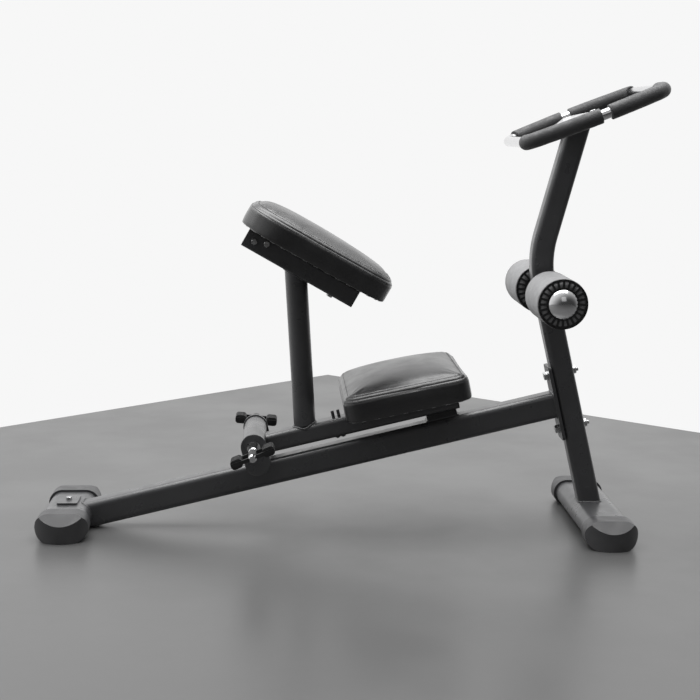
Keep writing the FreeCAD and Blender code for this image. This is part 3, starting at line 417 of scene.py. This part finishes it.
# ------------------------------------------------------------- turned local frames
class Turned:
    """Coordinates pitched up about Y: along, across and above, still in metres."""

    def __init__(self, degrees):
        angle = math.radians(degrees)
        self.along = np.array((math.cos(angle), 0, math.sin(angle)))
        self.across = np.array((0.0, 1.0, 0.0))
        self.above = np.array((-math.sin(angle), 0, math.cos(angle)))
        self.axes = np.array((self.along, self.across, self.above))

    def local(self, points):
        return np.asarray(points) @ self.axes.T

    def world(self, points):
        return np.asarray(points) @ self.axes

    def box(self, node):
        """Lowest and highest corner of a CAD node in these coordinates."""
        points = self.local(mesh_points(NODES[node]))
        return points.min(0), points.max(0)


BEAM_PITCH = 13.4
POST_LEAN = 13.3
SEAT_PITCH = -29.5
KNEE_PITCH = 11.7
SEAT_POST_LEAN = 3.5
BEAM_CORNER = 14 * MM
POST_CORNER = 12 * MM
BEAM = Turned(BEAM_PITCH)
POST = Turned(POST_LEAN)
SEAT = Turned(SEAT_PITCH)
KNEE = Turned(KNEE_PITCH)


# ----------------------------------------------------------------------- cushions
def rounded_outline(corners, radii, cells_along, cells_across):
    """Points round a four-cornered outline, evenly spaced between its corner middles.

    The corners run rear right, front right, front left, rear left. The points
    start at the middle of the first corner's arc.
    """
    dense = []
    middles = []
    arc_steps = 60
    for index in range(4):
        here = np.array(corners[index], float)
        back = np.array(corners[index - 1], float) - here
        ahead = np.array(corners[(index + 1) % 4], float) - here
        back /= np.linalg.norm(back)
        ahead /= np.linalg.norm(ahead)
        half_angle = math.acos(float(back @ ahead)) / 2
        middle = (back + ahead) / np.linalg.norm(back + ahead)
        centre = here + middle * radii[index] / math.sin(half_angle)
        start = here + back * radii[index] / math.tan(half_angle) - centre
        end = here + ahead * radii[index] / math.tan(half_angle) - centre
        turn = math.pi - 2 * half_angle
        for step in range(arc_steps + 1):
            share = step / arc_steps
            spoke = (start * math.sin((1 - share) * turn) + end * math.sin(share * turn)) / math.sin(turn)
            dense.append(centre + spoke)
        middles.append(len(dense) - 1 - arc_steps // 2)
    dense = np.array(dense + [dense[0]])
    reach = np.concatenate(([0], np.cumsum(np.linalg.norm(np.diff(dense, axis=0), axis=1))))
    total = reach[-1]
    stops = [reach[index] for index in middles] + [total + reach[middles[0]]]
    distances = []
    for side, cells in enumerate((cells_along, cells_across, cells_along, cells_across)):
        distances.extend(np.linspace(stops[side], stops[side + 1], cells, endpoint=False))
    distances = np.array(distances) % total
    return np.stack([np.interp(distances, reach, dense[:, axis]) for axis in (0, 1)], 1)


def outward(ring):
    """Unit normals that point out of a counter-clockwise ring of 2-D points."""
    tangent = np.roll(ring, -1, 0) - np.roll(ring, 1, 0)
    normal = np.stack([tangent[:, 1], -tangent[:, 0]], 1)
    return normal / np.linalg.norm(normal, axis=1)[:, None]


def grid_in_ring(ring, cells_along, cells_across):
    """A quad grid that fills a ring, its inside points relaxed until they are even."""
    grid = np.zeros((cells_along + 1, cells_across + 1, 2))
    grid[:, :] = ring.mean(0)
    for (i, j), point in zip(ring_cells(cells_along, cells_across), ring):
        grid[i, j] = point
    relaxing_passes = 2500
    for _ in range(relaxing_passes):
        grid[1:-1, 1:-1] = (grid[:-2, 1:-1] + grid[2:, 1:-1] + grid[1:-1, :-2] + grid[1:-1, 2:]) / 4
    return grid


def ring_cells(cells_along, cells_across):
    """Grid places round the border, in the order of the ring's points."""
    places = [(i, 0) for i in range(cells_along)]
    places += [(cells_along, j) for j in range(cells_across)]
    places += [(cells_along - i, cells_across) for i in range(cells_along)]
    places += [(0, cells_across - j) for j in range(cells_across)]
    return places


class Pad:
    """An upholstered pad on a board: crowned top, two welted strips and boxed sides."""

    BASE_INSET = 2.2 * MM        # the sides start this far inside, and swell in the simulation
    SEAM_INSET = 18.6 * MM       # the top seam stands this far in from the side
    CAP = 4.0 * MM               # most that a point may move in the simulation
    POCKET = 13.0 * MM           # the board's pocket, in from the outline
    SHOULDER = 3.4 * MM          # the outermost row of the crown stands this far above the side
    GATHERS = {"top_roll": 0.22, "strip_high": 0.28, "strip_low": 0.25, "band_high": 0.2,
               "band_low": 0.2, "side": 0.12, "top": 0.12}    # depth of the gathers by row, in mm

    def __init__(self, name, node, board, turned, corners, radii, cells, sag, lean):
        self.name = name
        self.lean = lean             # below 1, the crown's top sits nearer the rear
        self.node = node
        self.turned = turned
        self.cells = cells
        self.sag = sag
        self.low, self.high = turned.box(node)
        self.board_top = turned.box(board)[1][2]
        middle = (self.low + self.high) / 2
        self.outline = rounded_outline(corners, radii, *cells) + middle[:2]
        self.normals = outward(self.outline)

    def rows(self, edge, bottom):
        """(inset, height, pinned, name) of each row of points, from the top down."""
        seam = self.SEAM_INSET
        base = self.BASE_INSET
        rows = [
            (seam + 8 * MM, edge + self.SHOULDER, False, "shoulder"),
            (seam + 4 * MM, edge + 2.4 * MM, False, "top"),
            (seam + 1.5 * MM, edge + 0.8 * MM, False, "top_roll"),
            (seam, edge - 2.2 * MM, True, "top_seam"),
            (seam - 1.6 * MM, edge - 0.8 * MM, False, "strip_high"),
            (seam - 4.4 * MM, edge - 2.2 * MM, False, "strip"),
            (seam - 7.4 * MM, edge - 4.6 * MM, False, "strip"),
            (seam - 9.2 * MM, edge - 7.0 * MM, False, "strip_low"),
            (seam - 9.6 * MM, edge - 9.6 * MM, True, "middle_seam"),
            (seam - 11.2 * MM, edge - 9.2 * MM, False, "band_high"),
            (seam - 13.2 * MM, edge - 11.2 * MM, False, "band"),
            (seam - 14.5 * MM, edge - 13.6 * MM, False, "band_low"),
            (seam - 14.7 * MM, edge - 15.6 * MM, True, "low_seam"),
        ]
        side_top = edge - 17.6 * MM
        side_low = bottom + 7.0 * MM
        steps = 6
        for step in range(steps + 1):
            share = step / steps
            rows.append((base, side_top + (side_low - side_top) * share, False, "side"))
        rows += [
            (base + 0.4 * MM, bottom + 3.4 * MM, False, "side"),
            (base + 1.6 * MM, bottom + 1.0 * MM, False, "wrap"),
            (base + 4.0 * MM, bottom + 0.2 * MM, True, "wrap"),
            (base + 7.5 * MM, bottom, True, "wrap"),
            (self.POCKET - 0.6 * MM, bottom + 0.2 * MM, True, "wrap"),
            (self.POCKET, bottom + 1.6 * MM, True, "pocket"),
            (self.POCKET, self.board_top - 1.5 * MM, True, "pocket"),
            (self.POCKET + 0.4 * MM, self.board_top + 0.4 * MM, True, "ceiling"),
        ]
        return rows

    def pucker(self, index, name):
        """Small gathers beside the seams and a slight pull-in between the corners."""
        count = len(self.outline)
        turn = 2 * math.pi * index / count
        gather = math.sin(turn * 47 + 1.3) + 0.7 * math.sin(turn * 71 + 0.4) + 0.5 * math.sin(turn * 29)
        inset = gather * self.GATHERS.get(name, 0.0) * MM
        along, across = self.cells
        corner_shares = np.array((0, along, along + across, 2 * along + across, 2 * (along + across)))
        side = int(np.searchsorted(corner_shares, index, side="right")) - 1
        span = corner_shares[side + 1] - corner_shares[side]
        share = (index - corner_shares[side]) / span
        if name in ("side", "band", "band_low", "band_high"):
            inset += self.sag * math.sin(math.pi * share) ** 2
        return inset

    def shell(self, edge, crown):
        """Points and faces of the whole closed form, with the rows' point numbers."""
        along, across = self.cells
        rows = self.rows(edge, self.low[2])
        rings = []
        for inset, height, _, name in rows:
            extra = np.array([self.pucker(index, name) for index in range(len(self.outline))])
            flat = self.outline - self.normals * (inset + extra)[:, None]
            rings.append(np.column_stack([flat, np.full(len(flat), height)]))
        points = []
        faces = []
        numbers = []

        def add_grid(ring, height_at, flip):
            grid = grid_in_ring(ring[:, :2], along, across)
            first = len(points)
            for i in range(along + 1):
                for j in range(across + 1):
                    height = height_at(i / along, j / across, ring[0, 2])
                    points.append((grid[i, j, 0], grid[i, j, 1], height))
            for i in range(along):
                for j in range(across):
                    a = first + i * (across + 1) + j
                    quad = (a, a + across + 1, a + across + 2, a + 1)
                    faces.append(quad[::-1] if flip else quad)
            return [first + i * (across + 1) + j for i, j in ring_cells(along, across)]

        def crowned(u, v, height):
            shifted = u ** self.lean
            bulge = (1 - abs(2 * shifted - 1) ** 2.4) * (1 - abs(2 * v - 1) ** 2.4)
            return height + crown * bulge ** 0.8

        numbers.append(add_grid(rings[0], crowned, False))
        for ring in rings[1:-1]:
            first = len(points)
            points.extend(map(tuple, ring))
            numbers.append(list(range(first, first + len(ring))))
        numbers.append(add_grid(rings[-1], lambda u, v, height: height, True))
        for upper, lower in zip(numbers, numbers[1:]):
            for index in range(len(upper)):
                following = (index + 1) % len(upper)
                faces.append((upper[index], lower[index], lower[following], upper[following]))
        return np.array(points), faces, rows, numbers

    def build(self, edge_height, body):
        """The finished cushion. edge_height is the top of its side above its underside."""
        edge = self.low[2] + edge_height
        crown = self.high[2] - edge - self.SHOULDER - self.CAP * 0.7
        points, faces, rows, numbers = self.shell(edge, crown)
        world = self.turned.world(points)
        piece = new_piece(self.name, world, faces, MATERIALS["vinyl"], body)
        free_top = set(range((self.cells[0] + 1) * (self.cells[1] + 1)))
        pinned = set(range(len(points))) - free_top
        for row, ring in zip(rows, numbers):
            if not row[2]:
                pinned -= set(ring)
        puff(piece, world, sorted(pinned), self.CAP)
        rested = mesh_points(piece)
        rows_at = {}
        for row, ring in zip(rows, numbers):
            rows_at.setdefault(row[3], rested[ring])
        subdivide_smooth(piece)
        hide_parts(self.node)
        return rows_at


def puff(piece, start, pinned, cap):
    """Swells a closed shell with cloth pressure and keeps each point within cap of its start."""
    group = piece.vertex_groups.new(name="pinned")
    group.add([int(index) for index in pinned], 1.0, "REPLACE")
    modifier = piece.modifiers.new("puff", "CLOTH")
    settings = modifier.settings
    settings.quality = 6
    settings.vertex_group_mass = "pinned"
    settings.use_pressure = True
    settings.uniform_pressure_force = 4.0
    settings.tension_stiffness = 25
    settings.compression_stiffness = 25
    settings.shear_stiffness = 10
    settings.bending_stiffness = 2.0
    settings.effector_weights.gravity = 0.0
    first_frame = 1
    last_frame = 20
    modifier.point_cache.frame_start = first_frame
    modifier.point_cache.frame_end = last_frame
    scene = bpy.context.scene
    for step in range(first_frame, last_frame + 1):
        scene.frame_set(step)
    graph = bpy.context.evaluated_depsgraph_get()
    swollen = mesh_points(piece.evaluated_get(graph))
    piece.modifiers.remove(modifier)
    scene.frame_set(first_frame)
    shift = swollen - start
    length = np.linalg.norm(shift, axis=1)[:, None]
    limited = cap * np.tanh(length / cap)
    set_mesh_points(piece, start + shift * limited / np.maximum(length, 1e-9))
    piece.vertex_groups.clear()


def even_path(ring, spacing, closed=True):
    """Points evenly spaced along a ring or an open line of points, about spacing apart."""
    line = np.vstack([ring, ring[:1]]) if closed else np.asarray(ring)
    reach = np.concatenate(([0], np.cumsum(np.linalg.norm(np.diff(line, axis=0), axis=1))))
    count = int(round(reach[-1] / spacing))
    distances = np.linspace(0, reach[-1], count, endpoint=not closed)
    return np.stack([np.interp(distances, reach, line[:, axis]) for axis in range(line.shape[1])], 1)


def stitches(name, pad, rings, body):
    """Rows of short threads that lie along the strips beside the seams."""
    spacing = 5.0 * MM
    parts = []
    centre = np.append(pad.outline.mean(0), pad.low[2])
    middle = Vector(pad.turned.world(centre))
    for ring in rings:
        path = even_path(ring, spacing)
        for index, point in enumerate(path):
            ahead = Vector(path[(index + 1) % len(path)] - path[index - 1]).normalized()
            here = Vector(point)
            out = here - middle
            out -= ahead * out.dot(ahead)
            out = (out.normalized() + Vector(pad.turned.above) * 0.8).normalized()
            side = ahead.cross(out).normalized()
            parts.append(capsule(here + out * 0.1 * MM, ahead, side, out, 1.7 * MM, 0.45 * MM))
    vertices, faces = merge(parts)
    return new_piece(name, vertices, faces, THREAD, body)


def staples(name, pad, rings, body):
    """Wire staples that hold the vinyl's turned edge under the board."""
    parts = []
    wire = 0.45 * MM
    down = -Vector(pad.turned.above)
    for point_in, point_out in rings:
        inner = Vector(point_in)
        outer = Vector(point_out)
        mid = (inner + outer) / 2
        radial = (outer - inner).normalized()
        along = radial.cross(down).normalized()
        crown_half = 5.0 * MM
        parts.append(capsule(mid + down * wire, along, radial, down, crown_half, wire))
        for end in (-1, 1):
            leg = mid + along * end * crown_half * 0.92
            parts.append(capsule(leg, down, radial, along, 1.2 * MM, wire))
    vertices, faces = merge(parts)
    return new_piece(name, vertices, faces, MATERIALS["zinc"], body)


def staple_places(pad, spacing):
    """Inner and outer points of each staple on the vinyl's turned edge."""
    flat = pad.low[2] - 0.1 * MM
    places = []
    inner = even_ring(pad, pad.POCKET - 2.0 * MM, spacing)
    outer = even_ring(pad, pad.POCKET - 6.0 * MM, spacing)
    for point_in, point_out in zip(inner, outer):
        places.append([pad.turned.world(np.append(point, flat)) for point in (point_in, point_out)])
    return places


def even_ring(pad, inset, spacing):
    """Outline points at an inset, thinned to about the spacing."""
    gap = np.linalg.norm(pad.outline[1] - pad.outline[0])
    step = max(1, int(round(spacing / gap)))
    return (pad.outline - pad.normals * inset)[::step]


def plan_corners(length, rear_width, front_width):
    """Corner points of a pad's plan about its middle, from the rear right round to the left."""
    half = length / 2
    rear = rear_width / 2
    front = front_width / 2
    return [(-half, -rear), (half, -front), (half, front), (-half, rear)]


def build_pads():
    """The seat and the knee pad with their stitching and staples."""
    seat = Pad("seat_cushion", "seat_pad", "seat_board", SEAT, plan_corners(396 * MM, 320 * MM, 240 * MM),
               [105 * MM, 80 * MM, 80 * MM, 105 * MM], (60, 46), 1.5 * MM, 0.65)
    knee = Pad("knee_cushion", "knee_pad", "knee_board", KNEE, plan_corners(308 * MM, 385 * MM, 385 * MM),
               [38 * MM] * 4, (52, 64), 2.0 * MM, 1.0)
    for pad, edge_height in ((seat, 60 * MM), (knee, 62 * MM)):
        short = pad.name.split("_")[0]
        rows_at = pad.build(edge_height, "carriage")
        stitches(short + "_stitching", pad, [rows_at["strip_high"], rows_at["band_low"]], "carriage")
        staples(short + "_staples", pad, staple_places(pad, 32 * MM), "carriage")


# --------------------------------------------------------------- rollers and grips
def build_rollers():
    """Foam rollers: rolled ends that swell through the open end rings, and an uneven skin."""
    sides = 96
    for side in ("left", "right"):
        node = "roller_foam_" + side
        low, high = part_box(node)
        centre = (low + high) / 2
        radius = (high.z - low.z) / 2
        core = (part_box("roller_core_" + side)[1].z - centre.z) + 0.4 * MM
        half = (high.y - low.y) / 2
        end_round = 7 * MM
        swell = 3.4 * MM
        profile = [(half - 0.6 * MM, core), (half - 0.2 * MM, radius * 0.62),
                   (half + swell, radius * 0.66), (half + swell * 1.1, radius * 0.76),
                   (half + swell, radius * 0.85), (half, radius - end_round)]
        for step in range(1, 7):
            angle = math.pi / 2 * step / 6
            inward = end_round * (1 - math.cos(angle))
            profile.append((half - inward, radius - end_round * (1 - math.sin(angle))))
        end_points = list(profile)
        lengths = 26
        for step in range(1, lengths):
            profile.append(((half - end_round) * (1 - 2 * step / lengths), radius))
        profile += [(-along, rim) for along, rim in reversed(end_points)]
        vertices = []
        faces = []
        for ring, (along, rim) in enumerate(profile):
            for step in range(sides):
                angle = 2 * math.pi * step / sides
                spoke = Vector((math.cos(angle), 0, math.sin(angle)))
                place = centre + spoke * rim + Vector((0, along, 0))
                uneven = noise.noise(place * 22) * 0.5 + noise.noise(place * 70) * 0.2
                shrink = (0.5 + uneven) * MM if rim > radius * 0.8 else 0.0
                vertices.append(place - spoke * max(0.0, shrink))
                beside = ring * sides + (step + 1) % sides
                if ring + 1 < len(profile):
                    here = ring * sides + step
                    faces.append((here, here + sides, beside + sides, beside))
        last = (len(profile) - 1) * sides
        for step in range(sides):
            following = (step + 1) % sides
            faces.append((last + step, step, following, last + following))
        foam_piece = new_piece("foam_roller_" + side, vertices, faces, MATERIALS["roller_foam"],
                               "roller_" + side)
        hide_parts(node)


def build_grips():
    """Foam sleeves: the CAD sleeves remeshed, with softened ends and an uneven skin."""
    for node in ("grip_right_rear", "grip_right_front", "grip_left_front", "grip_left_rear"):
        source = NODES[node]
        mesh = source.data.copy()
        name = "foam_" + node
        sleeve = bpy.data.objects.new(name, mesh)
        mesh.name = name
        bpy.context.scene.collection.objects.link(sleeve)
        remesh = sleeve.modifiers.new("even", "REMESH")
        remesh.mode = "VOXEL"
        remesh.voxel_size = 1.6 * MM
        apply_modifier(sleeve, "even")
        soften = sleeve.modifiers.new("soften", "SMOOTH")
        soften.factor = 0.5
        soften.iterations = 7
        apply_modifier(sleeve, "soften")
        mesh = sleeve.data
        points = mesh_points(sleeve)
        normals = np.zeros(len(points) * 3)
        mesh.vertices.foreach_get("normal", normals)
        normals = normals.reshape(-1, 3)
        shift = [0.25 * noise.noise(Vector(point) * 45) + 0.12 * noise.noise(Vector(point) * 160)
                 for point in points]
        set_mesh_points(sleeve, points + normals * (np.array(shift) * MM)[:, None])
        mesh.polygons.foreach_set("use_smooth", [True] * len(mesh.polygons))
        mesh.materials.clear()
        mesh.materials.append(MATERIALS["grip_foam"])
        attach(sleeve, "frame")
        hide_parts(node)


# -------------------------------------------------------------------------- welds
def rounded_square(half_width, half_height, corner, count):
    """Evenly spaced points round a rounded rectangle, as (across, above) pairs."""
    points = []
    for sign_y, sign_z, start in ((1, 1, 0.0), (-1, 1, 0.5), (-1, -1, 1.0), (1, -1, 1.5)):
        for step in range(9):
            angle = math.pi * (start + step / 16)
            points.append((sign_y * (half_width - corner) + corner * math.cos(angle),
                           sign_z * (half_height - corner) + corner * math.sin(angle)))
    return even_path(np.array(points), (4 * (half_width + half_height) - 1.7 * corner) / count)


def landing(target, start, direction):
    """Where a ray from start first meets a CAD node's surface, or None."""
    hit, place, _, _ = NODES[target].ray_cast(start, direction)
    return place if hit else None


def longest_run(places):
    """The longest unbroken run of found places round a ring, and whether it is the whole ring."""
    if all(place is not None for place in places):
        return places, True
    gap = places.index(None)
    runs = [[]]
    for place in places[gap:] + places[:gap]:
        if place is None:
            runs.append([])
        else:
            runs[-1].append(place)
    return max(runs, key=len), False


def weld(name, starts, direction, target, body, radius=2.6 * MM):
    """A rippled bead where a tube's outline, carried along direction, meets a node."""
    places = [landing(target, Vector(start), Vector(direction)) for start in starts]
    path, closed = longest_run(places)
    if len(path) < 0.5 * len(starts):
        print("weld", name, "found only", len(path), "of", len(starts))
        return
    even = even_path(np.array([tuple(point) for point in path]), 1.6 * MM, closed)
    radii = []
    for index in range(len(even)):
        ripple = abs(math.sin(math.pi * index / 3.0 + 0.8 * noise.noise(Vector(even[index]) * 90)))
        radii.append(radius * (0.84 + 0.16 * ripple))
    vertices, faces = tube_mesh([Vector(point) for point in even], radii, 10, closed)
    new_piece(name, vertices, faces, WELD, body)


def ring_at(turned, origin, section):
    """Carries (across, above) pairs to the world at an (along, across, above) origin."""
    points = np.column_stack([np.zeros(len(section)), section]) + np.asarray(origin)
    return turned.world(points)


def build_welds():
    """Beads at the welded joints that have a plain run round the tube."""
    grow = 0.6 * MM
    low, high = BEAM.box("main_beam")
    half_width = (high[1] - low[1]) / 2 + grow
    half_height = (high[2] - low[2]) / 2
    section = rounded_square(half_width, half_height + grow, BEAM_CORNER, 120)
    ring = ring_at(BEAM, ((low[0] + high[0]) / 2, 0, high[2] - half_height), section)
    weld("weld_beam_rear_foot", ring, -BEAM.along, "rear_foot_tube", "frame")
    weld("weld_beam_flange", ring, BEAM.along, "beam_flange", "frame")

    flange_low, flange_high = POST.box("beam_flange")
    post_low, post_high = POST.box("upright_post")
    half = (post_high[1] - post_low[1]) / 2
    section = rounded_square(half + grow, half + grow, POST_CORNER, 110)
    start_above = flange_low[2] - 20 * MM
    starts = np.column_stack([section[:, 1] + flange_high[0] + half, section[:, 0],
                              np.full(len(section), start_above)])
    weld("weld_post_front_foot", POST.world(starts), -POST.above, "front_foot_tube", "frame")

    low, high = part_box("seat_post")
    centre = (low + high) / 2
    radius = (high.y - low.y) / 2 + grow
    lean = math.radians(SEAT_POST_LEAN)
    rise = Vector((-math.sin(lean), 0, math.cos(lean)))
    circle = []
    for step in range(90):
        angle = 2 * math.pi * step / 90
        level = math.cos(angle)
        spoke = Vector((level * math.cos(lean), math.sin(angle), level * math.sin(lean)))
        circle.append(tuple(centre + spoke * radius))
    weld("weld_seat_post_foot", circle, -rise, "carriage_tube", "carriage", 3.0 * MM)
    weld("weld_seat_post_head", circle, rise, "seat_channel", "carriage", 3.0 * MM)


# ------------------------------------------------------------------ stage and view
def build_stage():
    """A grey floor cut where two walls would meet it, a bright world as the room, and softboxes."""
    corner = (0.025, 2.2)
    left_wall = (-8.7, -5.8)
    right_wall = (9.4, -6.6)
    near = -14.0
    outline = [corner, left_wall, (left_wall[0], near), (right_wall[0], near), right_wall]
    mesh = bpy.data.meshes.new("floor")
    mesh.from_pydata([(x, y, 0) for x, y in outline], [], [tuple(range(len(outline)))])
    floor = bpy.data.objects.new("floor", mesh)
    bpy.context.scene.collection.objects.link(floor)
    graph = Graph("rubber_gym_floor", roughness=0.34, ior=1.6)
    graph.color(graph.mix(graph.noise(1.2, 3), 0.085, 0.100))
    graph.roughness(graph.fit(graph.noise(3, 4), 0.3, 0.7, 0.30, 0.38))
    mesh.materials.append(graph.material)

    world = bpy.data.worlds.new("room")
    bpy.context.scene.world = world
    world.use_nodes = True
    tree = world.node_tree
    background = tree.nodes["Background"]
    direction = tree.nodes.new("ShaderNodeTexCoord").outputs["Generated"]
    toward = tree.nodes.new("ShaderNodeVectorMath")
    toward.operation = "DOT_PRODUCT"
    toward.inputs[1].default_value = Vector((-0.42, 0.80, 0.42)).normalized()
    tree.links.new(direction, toward.inputs[0])
    ramp = tree.nodes.new("ShaderNodeMapRange")
    ramp.interpolation_type = "SMOOTHSTEP"
    ramp.inputs["From Min"].default_value = -0.75
    ramp.inputs["From Max"].default_value = 0.55
    ramp.inputs["To Min"].default_value = 0.05
    ramp.inputs["To Max"].default_value = 0.93
    tree.links.new(toward.outputs["Value"], ramp.inputs["Value"])
    tree.links.new(ramp.outputs["Result"], background.inputs["Color"])
    background.inputs["Strength"].default_value = 1.0

    add_softbox("key_softbox", (-1.9, 1.2, 2.9), (0.0, 0.0, 0.4), (2.4, 2.4), 22)
    add_softbox("ceiling_softbox", (0.0, 0.2, 3.0), (0.0, 0.1, 0.0), (3.4, 2.4), 130)
    add_softbox("front_softbox", (0.9, -3.6, 2.6), (0.0, 0.0, 0.5), (1.8, 1.8), 4)


def add_softbox(name, place, target, size, power):
    light = bpy.data.lights.new(name, "AREA")
    light.shape = "RECTANGLE"
    light.size, light.size_y = size
    light.energy = power
    lamp = bpy.data.objects.new(name, light)
    lamp.location = place
    lamp.rotation_euler = (Vector(target) - Vector(place)).to_track_quat("-Z", "Y").to_euler()
    bpy.context.scene.collection.objects.link(lamp)


def build_camera():
    """The photograph's view: eye height about a metre, looking slightly down."""
    yaw, pitch, roll = 0.0461, 0.1542, -0.0081
    data = bpy.data.cameras.new("view")
    data.lens = 74.57
    data.sensor_width = 36.0
    data.clip_start = 0.05
    forward = Vector((math.sin(yaw) * math.cos(pitch), math.cos(yaw) * math.cos(pitch), -math.sin(pitch)))
    level = Vector((math.cos(yaw), -math.sin(yaw), 0))
    down = forward.cross(level)
    right = level * math.cos(roll) + down * math.sin(roll)
    below = down * math.cos(roll) - level * math.sin(roll)
    turn = Matrix((right, -below, -forward)).transposed().to_4x4()
    camera = bpy.data.objects.new("view", data)
    camera.matrix_world = Matrix.Translation((-0.1507, -3.5194, 0.990)) @ turn
    bpy.context.scene.collection.objects.link(camera)
    bpy.context.scene.camera = camera


# -------------------------------------------------------------------------- build
bpy.context.scene.view_settings.view_transform = "Standard"
build_camera()
build_stage()
dress_frame()
build_pads()
build_rollers()
build_grips()
build_welds()
